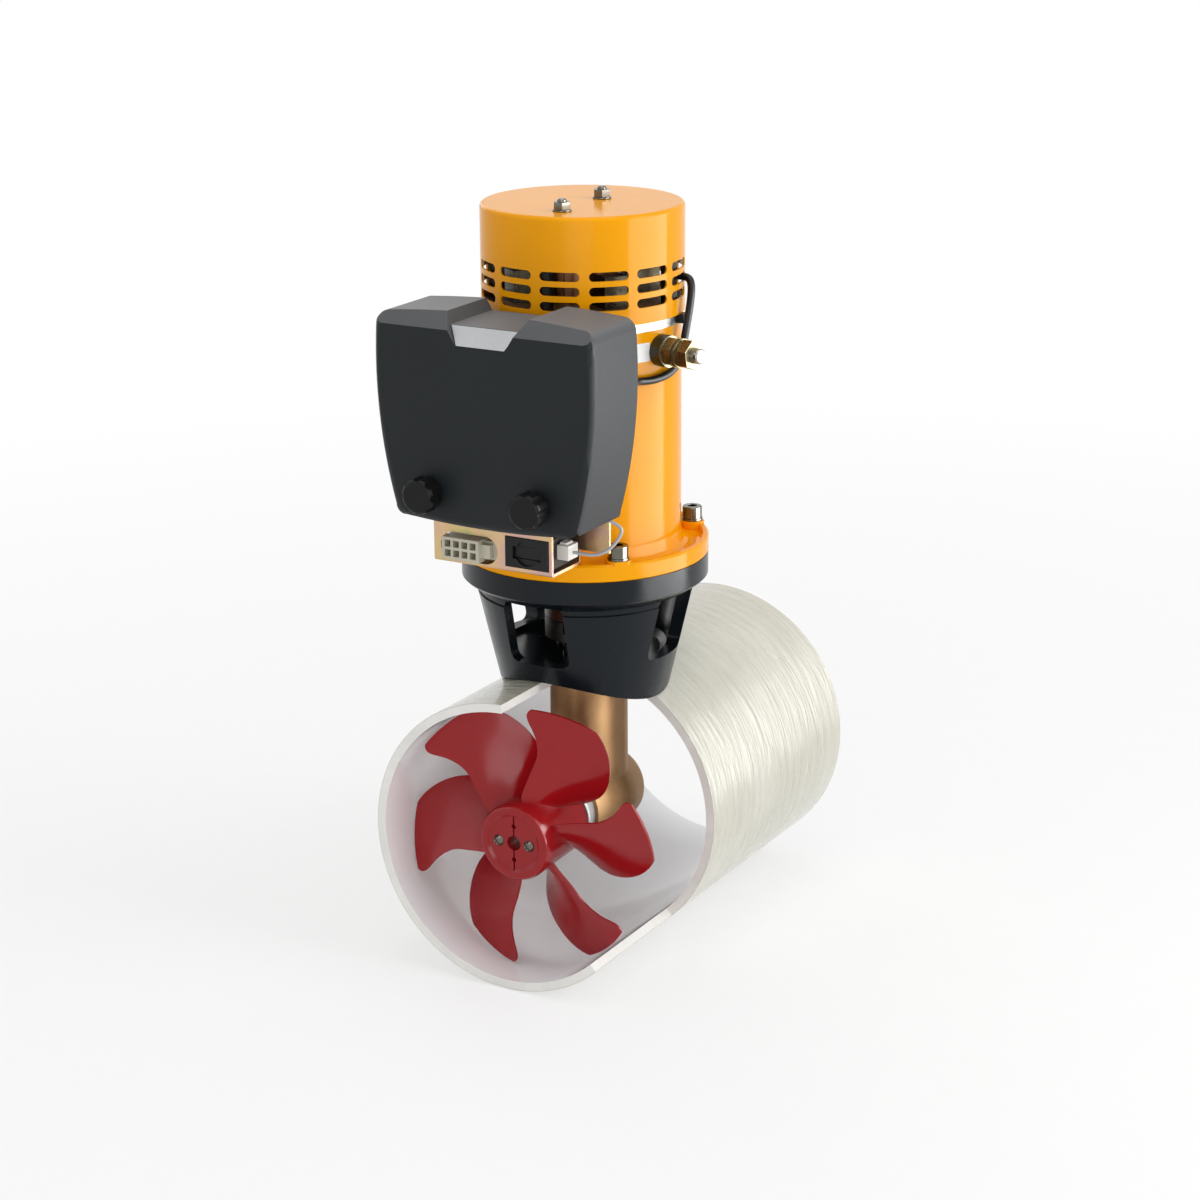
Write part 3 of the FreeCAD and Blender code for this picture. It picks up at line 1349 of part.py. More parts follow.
def make_cover_studs():
    studs = []
    for x in (-knob_x, knob_x):
        length = plate_y - cover_front_y + knob_neck + knob_head - 4.0
        studs.append(cylinder(cover_stud_r, length, Vector(x, plate_y, knob_z), Y_AXIS * -1))
        studs.append(hexagon(10.0, 4.5, Vector(x, plate_front_y - 4.5, knob_z), Y_AXIS).cut(
            cylinder(cover_stud_r, 10, Vector(x, plate_front_y - 7, knob_z), Y_AXIS)))
    return gather(studs)


def make_knob(x):
    seat_y = cover_front_y - 0.1
    neck = cylinder(knob_neck_r, knob_neck, Vector(x, seat_y, knob_z), Y_AXIS * -1)
    head_y = seat_y - knob_neck
    head = cylinder(knob_r, knob_head, Vector(x, head_y, knob_z), Y_AXIS * -1)
    front_edge = min(head.Edges, key=lambda edge: edge.CenterOfMass.y)
    head = head.makeFillet(3.0, [front_edge])
    scallop = cylinder(4.0, knob_head + 2, Vector(x + knob_r + 2.6, head_y + 1, knob_z), Y_AXIS * -1)
    centre = Vector(x, 0, knob_z)
    scallops = [turned(scallop, 360.0 * index / knob_lobes, Y_AXIS, centre) for index in range(knob_lobes)]
    bore_depth = knob_neck + knob_head - 3.5
    bore = cylinder(cover_stud_r + running_gap, bore_depth, Vector(x, seat_y, knob_z), Y_AXIS * -1)
    return neck.fuse(head).cut(scallops + [bore])


# ---------------------------------------------------------------- leads

def make_lead_clip():
    """Small strap on the end shield that holds the heat lead beside the cap."""
    low_z = yoke_top_z
    high_z = shield_band_z
    foot = block((shield_r - 3, -4.0, low_z), (shield_r + 4.0, 4.0, high_z))
    clip = foot.cut(cylinder(shield_r, 60, Vector(0, 0, low_z - 10)))
    return turned(clip, 12.0)


def make_heat_lead():
    """Lead of the winding's heat switch, from a cap slot round the yoke to the relays."""
    top = yoke_top_z
    route = [
        polar(cap_r - 7.5, 20, top + 28.1), polar(cap_r + 2.5, 18.3, top + 28.8),
        polar(cap_r + 6.2, 14.5, top + 24.0), polar(cap_r + 6.6, 10.5, top + 12.5),
        polar(cap_r + 5.5, 7.5, top - 0.5), polar(cap_r + 4.0, 5.0, top - 14.5),
        polar(yoke_r + 4.2, 1.0, top - 26.0), polar(yoke_r + 3.4, -8.0, top - 30.0),
        polar(yoke_r + 3.2, -20.0, top - 31.0), Vector(58.4, plate_y + 33.5, top - 29.5),
        Vector(61.3, plate_y + 21.5, top - 28.2), Vector(62.5, plate_y + 10.0, top - 27.1),
        Vector(62.0, plate_y - 1.5, top - 26.3), Vector(58.3, plate_y - 11.5, top - 26.3),
        Vector(51.5, plate_y - 19.0, top - 27.3),
    ]
    return rod("heat_lead", [tuple(point) for point in route], heat_lead_r)


def make_control_lead():
    """Grey lead that rises in a loop from the white plug into the cover."""
    left_x = fuse_right_x - 0.2 + 8.5
    plug_y = panel_y + 16
    route = [
        (left_x, plug_y, shelf_z + 13.6), (left_x + 6, plug_y, shelf_z + 13.6),
        (left_x + 13, plug_y + 0.5, shelf_z + 13.3), (left_x + 20, plug_y + 2.5, shelf_z + 14.9),
        (left_x + 25.3, plug_y + 6.0, shelf_z + 19.7), (left_x + 28.8, plug_y + 9.0, shelf_z + 25.7),
        (left_x + 29.4, plug_y + 10.0, shelf_z + 30.3), (left_x + 25.6, plug_y + 9.5, shelf_z + 33.0),
        (left_x + 20.2, plug_y + 8.0, shelf_z + 34.9), (left_x + 16.0, plug_y + 6.5, shelf_z + 38.7),
    ]
    return rod("control_lead", route, control_lead_r)


# ---------------------------------------------------------------- assembly

def main():
    os.makedirs("parts", exist_ok=True)
    export("tunnel", make_tunnel())
    export("tail_piece", make_tail_piece())
    export("case_plug", make_case_plug())
    export("bearing_carrier", make_rear_carrier())
    export("anode", make_anode())
    export("shaft_seals", make_shaft_seals())
    export("bevel_pinion", make_bevel_pinion())
    export("crown_wheel", make_crown_wheel())
    export("drive_shaft", make_drive_shaft())
    export("propeller_shaft", make_propeller_shaft())
    export("motor_shaft", make_motor_shaft())
    export("propeller", make_propeller())
    export("propeller_screws", make_propeller_screws())

    up = Z_AXIS
    leg_sets = [
        ball_bearing(drive_shaft_r, leg_bearing_r, leg_bearing_width, up * leg_bearing_z, up),
        ball_bearing(drive_shaft_r, pinion_bearing_r, pinion_bearing_width, up * pinion_bearing_z, up),
    ]
    case_sets = [
        ball_bearing(propeller_shaft_r, front_bearing_r, front_bearing_width,
                     Y_AXIS * front_bearing_y, Y_AXIS),
        ball_bearing(propeller_shaft_rear_r, rear_bearing_r, rear_bearing_width,
                     Y_AXIS * rear_bearing_y, Y_AXIS),
    ]
    motor_sets = [
        ball_bearing(motor_shaft_r, lower_bearing_r, lower_bearing_width, up * lower_bearing_z, up),
        ball_bearing(motor_shaft_top_r, upper_bearing_r, upper_bearing_width, up * upper_bearing_z, up),
    ]
    export("leg_bearing_outer_rings", gather([item[0] for item in leg_sets]))
    export("case_bearing_outer_rings", gather([item[0] for item in case_sets]))
    export("motor_bearing_outer_rings", gather([item[0] for item in motor_sets]))
    export("drive_bearing_inner_rings", gather([item[1] for item in leg_sets + motor_sets]))
    export("case_bearing_inner_rings", gather([item[1] for item in case_sets]))
    export("bearing_balls", gather([ball for item in leg_sets + case_sets + motor_sets
                                    for ball in item[2]]))

    export("intermediate_flange", make_intermediate_flange())
    export("saddle_seal", make_saddle_seal())
    export("clamp_bolts", make_clamp_bolts())
    export("coupling_lower", make_coupling_lower())
    export("coupling_upper", make_coupling_upper())
    export("coupling_spider", make_coupling_spider())
    export("motor_base", make_motor_base())
    export("flange_screws", make_flange_screws())
    export("yoke", make_yoke())
    export("pole_shoes", make_pole_shoes())
    export("field_coils", make_field_coils())
    export("armature_core", make_armature_core())
    export("armature_windings", make_windings())
    export("commutator", make_commutator())
    export("end_shield", make_end_shield())
    export("motor_cap", make_cap())
    export("cap_studs", make_cap_studs())
    export("cap_nuts", make_cap_nuts())
    export("brush_ring", make_brush_ring())
    export("brushes", make_brushes())
    export("brush_holders", make_brush_holders())
    export("brush_springs", make_brush_springs())
    export("terminal_stud", make_terminal_stud())
    export("terminal_insulator", make_terminal_insulator())
    export("terminal_nuts", make_terminal_nuts())
    export("control_bracket", make_bracket())
    export("bracket_screws", make_bracket_screws())
    export("connector", make_connector())
    export("fuse_holder", make_fuse_holder())
    export("fuse", make_fuse())
    export("lead_plug", make_lead_plug())
    export("relays", make_relays())
    export("bus_bars", make_bus_bars())
    export("cover", make_cover())
    export("badge", make_badge())
    export("cover_studs", make_cover_studs())
    export("knob_left", make_knob(-knob_x))
    export("knob_right", make_knob(knob_x))
    export("heat_lead", make_heat_lead())
    export("control_lead", make_control_lead())
    export("lead_clip", make_lead_clip())


main()
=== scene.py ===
import bpy
import json
import math
from mathutils import Matrix, Vector


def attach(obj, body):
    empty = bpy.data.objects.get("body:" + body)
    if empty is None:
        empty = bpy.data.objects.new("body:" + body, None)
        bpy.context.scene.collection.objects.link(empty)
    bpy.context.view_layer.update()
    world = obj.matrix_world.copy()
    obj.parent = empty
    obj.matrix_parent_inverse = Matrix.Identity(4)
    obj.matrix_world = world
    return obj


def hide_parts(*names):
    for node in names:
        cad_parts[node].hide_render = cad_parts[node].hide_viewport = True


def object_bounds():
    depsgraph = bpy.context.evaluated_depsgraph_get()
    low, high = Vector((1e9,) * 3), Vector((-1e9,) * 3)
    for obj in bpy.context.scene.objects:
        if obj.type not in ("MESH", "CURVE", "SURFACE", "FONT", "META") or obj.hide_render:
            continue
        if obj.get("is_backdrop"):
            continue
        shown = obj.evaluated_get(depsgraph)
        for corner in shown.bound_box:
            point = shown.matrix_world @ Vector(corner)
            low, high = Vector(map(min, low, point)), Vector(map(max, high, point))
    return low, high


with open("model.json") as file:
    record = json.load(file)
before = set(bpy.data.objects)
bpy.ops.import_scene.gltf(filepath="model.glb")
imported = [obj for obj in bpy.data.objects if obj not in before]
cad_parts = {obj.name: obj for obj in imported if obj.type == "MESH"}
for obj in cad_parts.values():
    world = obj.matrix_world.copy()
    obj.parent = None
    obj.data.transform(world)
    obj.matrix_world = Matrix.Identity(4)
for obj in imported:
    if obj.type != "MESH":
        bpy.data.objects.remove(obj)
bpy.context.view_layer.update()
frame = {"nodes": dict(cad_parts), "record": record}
nodes = frame["nodes"]
print("frame loaded:", len(nodes), "nodes")

# camera first; the leads' points were measured against its view
cameraView = {
    "place": (0.906604, -1.573184, 0.704087),
    "lens": 86.03,
    "azimuth": 29.648,
    "elevation": 17.277,
    "roll": -0.35,
    "sensor": 36,
    "nearest": 0.05,
    "farthest": 40,
}


def placeCamera(view):
    turn = math.radians(view["azimuth"])
    lift = math.radians(view["elevation"])
    roll = math.radians(view["roll"])
    back = Vector((math.sin(turn) * math.cos(lift), -math.cos(turn) * math.cos(lift), math.sin(lift)))
    side = Vector((math.cos(turn), math.sin(turn), 0))
    up = back.cross(side)
    right = side * math.cos(roll) + up * math.sin(roll)
    top = -side * math.sin(roll) + up * math.cos(roll)
    data = bpy.data.cameras.new("studioCamera")
    data.lens = view["lens"]
    data.sensor_width = view["sensor"]
    data.clip_start = view["nearest"]
    data.clip_end = view["farthest"]
    camera = bpy.data.objects.new("studioCamera", data)
    bpy.context.scene.collection.objects.link(camera)
    rotation = Matrix((right, top, back)).transposed()
    camera.matrix_world = Matrix.Translation(view["place"]) @ rotation.to_4x4()
    bpy.context.scene.camera = camera


placeCamera(cameraView)
print("camera placed")


# finishes
def startFinish(name, metallic=0.0, roughness=0.5):
    material = bpy.data.materials.new(name)
    material.use_nodes = True
    tree = material.node_tree
    shader = tree.nodes["Principled BSDF"]
    shader.inputs["Metallic"].default_value = metallic
    shader.inputs["Roughness"].default_value = roughness
    where = tree.nodes.new("ShaderNodeTexCoord").outputs["Object"]
    return material, tree, shader, where


def stretched(tree, where, scale):
    mapping = tree.nodes.new("ShaderNodeMapping")
    mapping.inputs["Scale"].default_value = scale
    tree.links.new(where, mapping.inputs["Vector"])
    return mapping.outputs["Vector"]


def noiseOf(tree, where, scale, detail=4.0, roughness=0.55, distortion=0.0):
    noise = tree.nodes.new("ShaderNodeTexNoise")
    noise.inputs["Scale"].default_value = scale
    noise.inputs["Detail"].default_value = detail
    noise.inputs["Roughness"].default_value = roughness
    noise.inputs["Distortion"].default_value = distortion
    tree.links.new(where, noise.inputs["Vector"])
    return noise.outputs["Fac"]


def rampOf(tree, factor, stops):
    ramp = tree.nodes.new("ShaderNodeValToRGB")
    elements = ramp.color_ramp.elements
    while len(elements) < len(stops):
        elements.new(0.5)
    for element, (place, colour) in zip(elements, stops):
        element.position = place
        element.color = (*colour, 1)
    tree.links.new(factor, ramp.inputs["Fac"])
    return ramp.outputs["Color"]


def rangeOf(tree, factor, low, high, fromLow=0.3, fromHigh=0.7):
    node = tree.nodes.new("ShaderNodeMapRange")
    node.inputs["From Min"].default_value = fromLow
    node.inputs["From Max"].default_value = fromHigh
    node.inputs["To Min"].default_value = low
    node.inputs["To Max"].default_value = high
    tree.links.new(factor, node.inputs["Value"])
    return node.outputs["Result"]


def feed(tree, value, socket):
    if isinstance(value, float):
        socket.default_value = value
    else:
        tree.links.new(value, socket)


def mixOf(tree, factor, first, second, kind="RGBA"):
    node = tree.nodes.new("ShaderNodeMix")
    node.data_type = kind
    feed(tree, factor, node.inputs["Factor"])
    tree.links.new(first, node.inputs["A"])
    tree.links.new(second, node.inputs["B"])
    return node.outputs["Result"]


def mathOf(tree, operation, first, second):
    node = tree.nodes.new("ShaderNodeMath")
    node.operation = operation
    feed(tree, first, node.inputs[0])
    feed(tree, second, node.inputs[1])
    return node.outputs["Value"]


def bumpTo(tree, shader, height, strength, distance, after=None):
    bump = tree.nodes.new("ShaderNodeBump")
    bump.inputs["Strength"].default_value = strength
    bump.inputs["Distance"].default_value = distance
    tree.links.new(height, bump.inputs["Height"])
    if after is not None:
        tree.links.new(after, bump.inputs["Normal"])
    tree.links.new(bump.outputs["Normal"], shader.inputs["Normal"])
    return bump.outputs["Normal"]


def shadeOf(colour, factor):
    return tuple(min(1.0, channel * factor) for channel in colour)


def radiusAbout(tree, where, axis):
    split = tree.nodes.new("ShaderNodeSeparateXYZ")
    join = tree.nodes.new("ShaderNodeCombineXYZ")
    length = tree.nodes.new("ShaderNodeVectorMath")
    length.operation = "LENGTH"
    tree.links.new(where, split.inputs["Vector"])
    for name in "XYZ":
        if name != axis:
            tree.links.new(split.outputs[name], join.inputs[name])
    tree.links.new(join.outputs["Vector"], length.inputs[0])
    return length.outputs["Value"], split


# radius and height as one vector, so that a pattern runs in rings about the axis
def ringVector(tree, where, axis):
    radius, split = radiusAbout(tree, where, axis)
    along = tree.nodes.new("ShaderNodeCombineXYZ")
    tree.links.new(radius, along.inputs["X"])
    tree.links.new(split.outputs[axis], along.inputs["Y"])
    return along.outputs["Vector"]


def enamel(name, colour, roughness=0.28, gloss=0.4, peel=0.05, peelScale=260):
    material, tree, shader, where = startFinish(name, 0.0, roughness)
    shader.inputs["Specular IOR Level"].default_value = gloss
    broad = noiseOf(tree, where, 9, 3)
    tint = rampOf(tree, broad, [(0.3, shadeOf(colour, 0.93)), (0.7, shadeOf(colour, 1.04))])
    tree.links.new(tint, shader.inputs["Base Color"])
    fine = noiseOf(tree, where, 60, 5)
    tree.links.new(rangeOf(tree, fine, roughness * 0.85, roughness * 1.3), shader.inputs["Roughness"])
    bumpTo(tree, shader, noiseOf(tree, where, peelScale, 2), peel, 0.0004)
    return material


def turnedMetal(name, colour, roughness=0.3, axis="Z", lines=900, stain=0.8, bump=0.04):
    material, tree, shader, where = startFinish(name, 1.0, roughness)
    rings = noiseOf(tree, ringVector(tree, where, axis), lines, 2)
    cloud = noiseOf(tree, where, 30, 4)
    tint = rampOf(tree, cloud, [(0.3, shadeOf(colour, stain)), (0.7, colour)])
    tree.links.new(tint, shader.inputs["Base Color"])
    tree.links.new(rangeOf(tree, rings, roughness * 0.75, roughness * 1.35), shader.inputs["Roughness"])
    bumpTo(tree, shader, rings, bump, 0.0002)
    return material


def roughMetal(name, colour, roughness=0.45, grain=500, bump=0.15, stain=0.75):
    material, tree, shader, where = startFinish(name, 1.0, roughness)
    cloud = noiseOf(tree, where, 25, 5)
    tint = rampOf(tree, cloud, [(0.3, shadeOf(colour, stain)), (0.7, colour)])
    tree.links.new(tint, shader.inputs["Base Color"])
    fine = noiseOf(tree, where, grain, 3)
    tree.links.new(rangeOf(tree, fine, roughness * 0.8, roughness * 1.3), shader.inputs["Roughness"])
    bumpTo(tree, shader, fine, bump, 0.0003)
    return material


def moulded(name, colour, roughness=0.5, grain=900, bump=0.12, gloss=0.3, spread=0.9, sheen=0.0,
            paleTopSheen=None):
    material, tree, shader, where = startFinish(name, 0.0, roughness)
    shader.inputs["Specular IOR Level"].default_value = gloss
    shader.inputs["Sheen Weight"].default_value = sheen
    shader.inputs["Sheen Roughness"].default_value = 0.45
    cloud = noiseOf(tree, where, 14, 4)
    tint = rampOf(tree, cloud, [(0.3, shadeOf(colour, spread)), (0.7, shadeOf(colour, 1.08))])
    if paleTopSheen is not None:  # painted sheen: faces turned up get a paler base colour, standing in for the overhead light's sheen on them
        split = tree.nodes.new("ShaderNodeSeparateXYZ")
        tree.links.new(tree.nodes.new("ShaderNodeNewGeometry").outputs["Normal"], split.inputs["Vector"])
        paintedTopSheenTint = rampOf(tree, cloud, [(0.3, shadeOf(paleTopSheen, 0.92)), (0.7, shadeOf(paleTopSheen, 1.06))])
        tint = mixOf(tree, rangeOf(tree, split.outputs["Z"], 0, 1, 0.25, 0.8), tint, paintedTopSheenTint)
    tree.links.new(tint, shader.inputs["Base Color"])
    fine = noiseOf(tree, where, grain, 2)
    tree.links.new(rangeOf(tree, fine, roughness * 0.85, roughness * 1.15), shader.inputs["Roughness"])
    bumpTo(tree, shader, fine, bump, 0.0002)
    return material


# wound glass-fibre tube: smooth white bore, streaked cream outside, pale cut edges
laminateLook = {
    "outside": (0.57, 0.555, 0.455),
    "streakLight": (0.72, 0.71, 0.635),
    "streakDark": (0.48, 0.46, 0.36),
    "bore": (0.93, 0.93, 0.945),
    "edge": (0.86, 0.85, 0.81),
    "boreRadius": 0.0927,
    "skinRadius": 0.0982,
    "windingScale": (1.6, 150, 1),
    "windingBump": (0.9, 0.004),
    "towScale": (3.5, 520, 1),
    "towBump": (0.5, 0.0012),
    "patchScale": 11,
    "patchShare": 0.45,
    "skinRoughness": (0.16, 0.28),
    "boreRoughness": (0.05, 0.09),
    "coat": 0.6,
    "coatRoughness": 0.05,
}


def woundLaminate(look):
    material, tree, shader, where = startFinish("woundLaminate", 0.0, 0.25)
    radius, split = radiusAbout(tree, where, "Y")
    lap = tree.nodes.new("ShaderNodeCombineXYZ")
    tree.links.new(mathOf(tree, "ARCTAN2", split.outputs["Z"], split.outputs["X"]), lap.inputs["X"])
    tree.links.new(split.outputs["Y"], lap.inputs["Y"])
    unrolled = lap.outputs["Vector"]
    winding = noiseOf(tree, stretched(tree, unrolled, look["windingScale"]), 1.0, 5, 0.6, 0.4)
    tow = noiseOf(tree, stretched(tree, unrolled, look["towScale"]), 1.0, 3, 0.6)
    patches = noiseOf(tree, where, look["patchScale"], 3)
    streaks = rampOf(tree, winding, [(0.30, look["streakDark"]), (0.46, look["outside"]),
                                     (0.60, look["outside"]), (0.72, look["streakLight"])])
    cloudy = rampOf(tree, patches, [(0.35, look["outside"]), (0.7, look["streakLight"])])
    skinTint = mixOf(tree, look["patchShare"], streaks, cloudy)
    boreTint = rampOf(tree, patches, [(0.3, shadeOf(look["bore"], 0.97)), (0.7, look["bore"])])
    edgeTint = rampOf(tree, tow, [(0.3, shadeOf(look["edge"], 0.9)), (0.7, look["edge"])])
    onSkin = mathOf(tree, "GREATER_THAN", radius, look["skinRadius"])
    onBore = mathOf(tree, "LESS_THAN", radius, look["boreRadius"])
    tint = mixOf(tree, onSkin, mixOf(tree, onBore, edgeTint, boreTint), skinTint)
    tree.links.new(tint, shader.inputs["Base Color"])
    ridges = bumpTo(tree, shader, mathOf(tree, "MULTIPLY", winding, onSkin), *look["windingBump"])
    bumpTo(tree, shader, mathOf(tree, "MULTIPLY", tow, onSkin), *look["towBump"], ridges)
    gloss = mixOf(tree, onBore, rangeOf(tree, patches, *look["skinRoughness"]),
                  rangeOf(tree, patches, *look["boreRoughness"]), "FLOAT")
    tree.links.new(gloss, shader.inputs["Roughness"])
    shader.inputs["Coat Weight"].default_value = look["coat"]
    shader.inputs["Coat Roughness"].default_value = look["coatRoughness"]
    return material


# yellow passivated zinc plate, with the green and pink bloom that such plating shows
plateLook = {
    "bloomScale": (16, 16, 24),
    "bloom": [(0.28, (0.38, 0.43, 0.20)), (0.40, (0.60, 0.46, 0.21)), (0.50, (0.64, 0.44, 0.26)),
              (0.60, (0.58, 0.36, 0.33)), (0.72, (0.40, 0.47, 0.28))],
    "spangleScale": 220,
    "spangleBump": (0.05, 0.0002),
    "roughness": (0.26, 0.42),
}


def passivatedPlate(look):
    material, tree, shader, where = startFinish("passivatedPlate", 1.0, 0.32)
    bloom = noiseOf(tree, stretched(tree, where, look["bloomScale"]), 1.0, 3, 0.5, 0.8)
    tree.links.new(rampOf(tree, bloom, look["bloom"]), shader.inputs["Base Color"])
    spangle = noiseOf(tree, where, look["spangleScale"], 3)
    tree.links.new(rangeOf(tree, spangle, *look["roughness"]), shader.inputs["Roughness"])
    bumpTo(tree, shader, spangle, *look["spangleBump"])
    return material


# cast bronze with a brown patina and faint rings from turning
bronzeLook = {
    "patinaScale": 18,
    "patina": [(0.28, (0.27, 0.15, 0.065)), (0.5, (0.43, 0.26, 0.125)), (0.72, (0.56, 0.36, 0.19))],
    "ringScale": 700,
    "ringBump": (0.05, 0.0003),
    "roughness": (0.42, 0.60),
}


def bronzeCasting(look):
    material, tree, shader, where = startFinish("bronzeCasting", 1.0, 0.48)
    rings = noiseOf(tree, ringVector(tree, where, "Z"), look["ringScale"], 2)
    patina = noiseOf(tree, where, look["patinaScale"], 5, 0.6, 0.3)
    tree.links.new(rampOf(tree, patina, look["patina"]), shader.inputs["Base Color"])
    tree.links.new(rangeOf(tree, patina, *look["roughness"]), shader.inputs["Roughness"])
    bumpTo(tree, shader, rings, *look["ringBump"])
    return material


def laidWinding(name, colour, axis, pitch):
    material, tree, shader, where = startFinish(name, 0.9, 0.3)
    wave = tree.nodes.new("ShaderNodeTexWave")
    wave.wave_type = "BANDS"
    wave.bands_direction = axis
    wave.inputs["Scale"].default_value = pitch
    wave.inputs["Distortion"].default_value = 0.6
    tree.links.new(where, wave.inputs["Vector"])
    tint = rampOf(tree, wave.outputs["Fac"], [(0.1, shadeOf(colour, 0.45)), (0.6, colour)])
    tree.links.new(tint, shader.inputs["Base Color"])
    bumpTo(tree, shader, wave.outputs["Fac"], 0.5, 0.0006)
    return material


# end shield: bright turned band on the outside; the casting inside the cap is painted near black as
# painted shade under the cap
shieldLook = {
    "band": (0.27, 0.27, 0.258),
    # painted shade: near-black colour for the casting inside the cap
    "paintedShadeInside": (0.030, 0.028, 0.025),
    "bandRadius": 0.0625,
    "bandTop": 0.3422,
    "grainScale": 260,
    "grainBump": (0.12, 0.0003),
    "roughness": (0.24, 0.40),
}


def shieldCasting(look):
    material, tree, shader, where = startFinish("shieldCasting", 1.0, 0.3)
    radius, split = radiusAbout(tree, where, "Z")
    cloud = noiseOf(tree, where, 25, 5)
    band = rampOf(tree, cloud, [(0.3, shadeOf(look["band"], 0.75)), (0.7, look["band"])])
    paintedShadeInside = rampOf(tree, cloud, [(0.3, shadeOf(look["paintedShadeInside"], 0.5)), (0.7, look["paintedShadeInside"])])
    # painted shade: away from the outer turned band the casting gets the near-black colour, for the
    # shade under the cap
    turned = mathOf(tree, "MULTIPLY", mathOf(tree, "GREATER_THAN", radius, look["bandRadius"]),
                    mathOf(tree, "LESS_THAN", split.outputs["Z"], look["bandTop"]))
    tree.links.new(mixOf(tree, turned, paintedShadeInside, band), shader.inputs["Base Color"])
    grain = noiseOf(tree, where, look["grainScale"], 3)
    tree.links.new(rangeOf(tree, grain, *look["roughness"]), shader.inputs["Roughness"])
    bumpTo(tree, shader, grain, *look["grainBump"])
    return material


finishes = {
    "motorPaint": enamel("motorPaint", (0.90, 0.365, 0.002), 0.14, 0.11, 0.02, 240),
    "flangePaint": enamel("flangePaint", (0.004, 0.007, 0.010), 0.22, 0.22, 0.08, 180),
    "redResin": enamel("redResin", (0.30, 0.005, 0.008), 0.16, 0.34, 0.03, 120),
    "laminate": woundLaminate(laminateLook),
    "bronze": bronzeCasting(bronzeLook),
    # painted sheen: the paler colour given here is painted on the cover's faces that point up
    "coverPlastic": moulded("coverPlastic", (0.007, 0.010, 0.012), 0.50, 1400, 0.14, 0.22, sheen=0.16,
                            paleTopSheen=(0.105, 0.109, 0.115)),
    "knobPlastic": moulded("knobPlastic", (0.006, 0.006, 0.006), 0.40, 900, 0.1, 0.18),
    "insulatorResin": moulded("insulatorResin", (0.030, 0.027, 0.010), 0.2, 300, 0.05, 0.45),
    "blackPlastic": moulded("blackPlastic", (0.012, 0.012, 0.012), 0.42, 700, 0.1, 0.22),
    "relayPlastic": moulded("relayPlastic", (0.018, 0.018, 0.019), 0.35, 500, 0.06, 0.3),
    "sealRubber": moulded("sealRubber", (0.010, 0.010, 0.010), 0.7, 500, 0.3, 0.2),
    "nylon": moulded("nylon", (0.56, 0.53, 0.42), 0.35, 300, 0.08, 0.5),
    "plugNylon": moulded("plugNylon", (0.82, 0.81, 0.76), 0.35, 300, 0.05, 0.5),
    "couplingResin": moulded("couplingResin", (0.055, 0.018, 0.010), 0.35, 400, 0.12, 0.3),
    "couplingMetal": turnedMetal("couplingMetal", (0.11, 0.10, 0.09), 0.45, "Z", 500, 0.6, 0.1),
    "stainless": turnedMetal("stainless", (0.17, 0.16, 0.135), 0.17, "Z", 1500, 0.8, 0.03),
    "terminalPlate": turnedMetal("terminalPlate", (0.25, 0.22, 0.135), 0.27, "Z", 1800, 0.75, 0.03),
    "studSteel": turnedMetal("studSteel", (0.40, 0.39, 0.36), 0.26, "Y", 2500, 0.8, 0.05),
    "groundSteel": turnedMetal("groundSteel", (0.45, 0.45, 0.46), 0.2, "Z", 2200, 0.85, 0.02),
    "gearSteel": roughMetal("gearSteel", (0.36, 0.36, 0.37), 0.32, 700, 0.05, 0.7),
    "bearingSteel": turnedMetal("bearingSteel", (0.60, 0.60, 0.61), 0.12, "Z", 1800, 0.92, 0.01),
    "softIron": laidWinding("softIron", (0.26, 0.25, 0.24), "Z", 160),
    "copperWinding": laidWinding("copperWinding", (0.62, 0.26, 0.10), "Z", 110),
    "commutatorCopper": turnedMetal("commutatorCopper", (0.62, 0.30, 0.15), 0.3, "Z", 1200, 0.6, 0.06),
    "busCopper": roughMetal("busCopper", (0.62, 0.31, 0.17), 0.28, 500, 0.05, 0.7),
    "holderBrass": roughMetal("holderBrass", (0.10, 0.085, 0.055), 0.30, 500, 0.06, 0.5),
    "shieldCasting": shieldCasting(shieldLook),
    "zincCasting": roughMetal("zincCasting", (0.42, 0.42, 0.41), 0.5, 300, 0.3, 0.6),
    "plugSteel": turnedMetal("plugSteel", (0.30, 0.285, 0.26), 0.32, "Y", 900, 0.7, 0.08),
    "brushCarbon": moulded("brushCarbon", (0.035, 0.035, 0.036), 0.45, 1200, 0.2),
    "ringLaminate": moulded("ringLaminate", (0.28, 0.14, 0.05), 0.4, 200, 0.1),
    "passivated": passivatedPlate(plateLook),
    "badgeSilver": roughMetal("badgeSilver", (0.44, 0.45, 0.46), 0.42, 900, 0.04, 0.9),
    "labelPaper": moulded("labelPaper", (0.82, 0.82, 0.80), 0.4, 600, 0.03, 0.4, 0.98),
    "contactBrass": roughMetal("contactBrass", (0.48, 0.36, 0.16), 0.3, 900, 0.04, 0.8),
    "heatLeadSkin": moulded("heatLeadSkin", (0.007, 0.007, 0.007), 0.32, 500, 0.06, 0.3),
    "greyLeadSkin": moulded("greyLeadSkin", (0.42, 0.43, 0.44), 0.38, 500, 0.06, 0.4),
}
print("finishes made:", len(finishes))

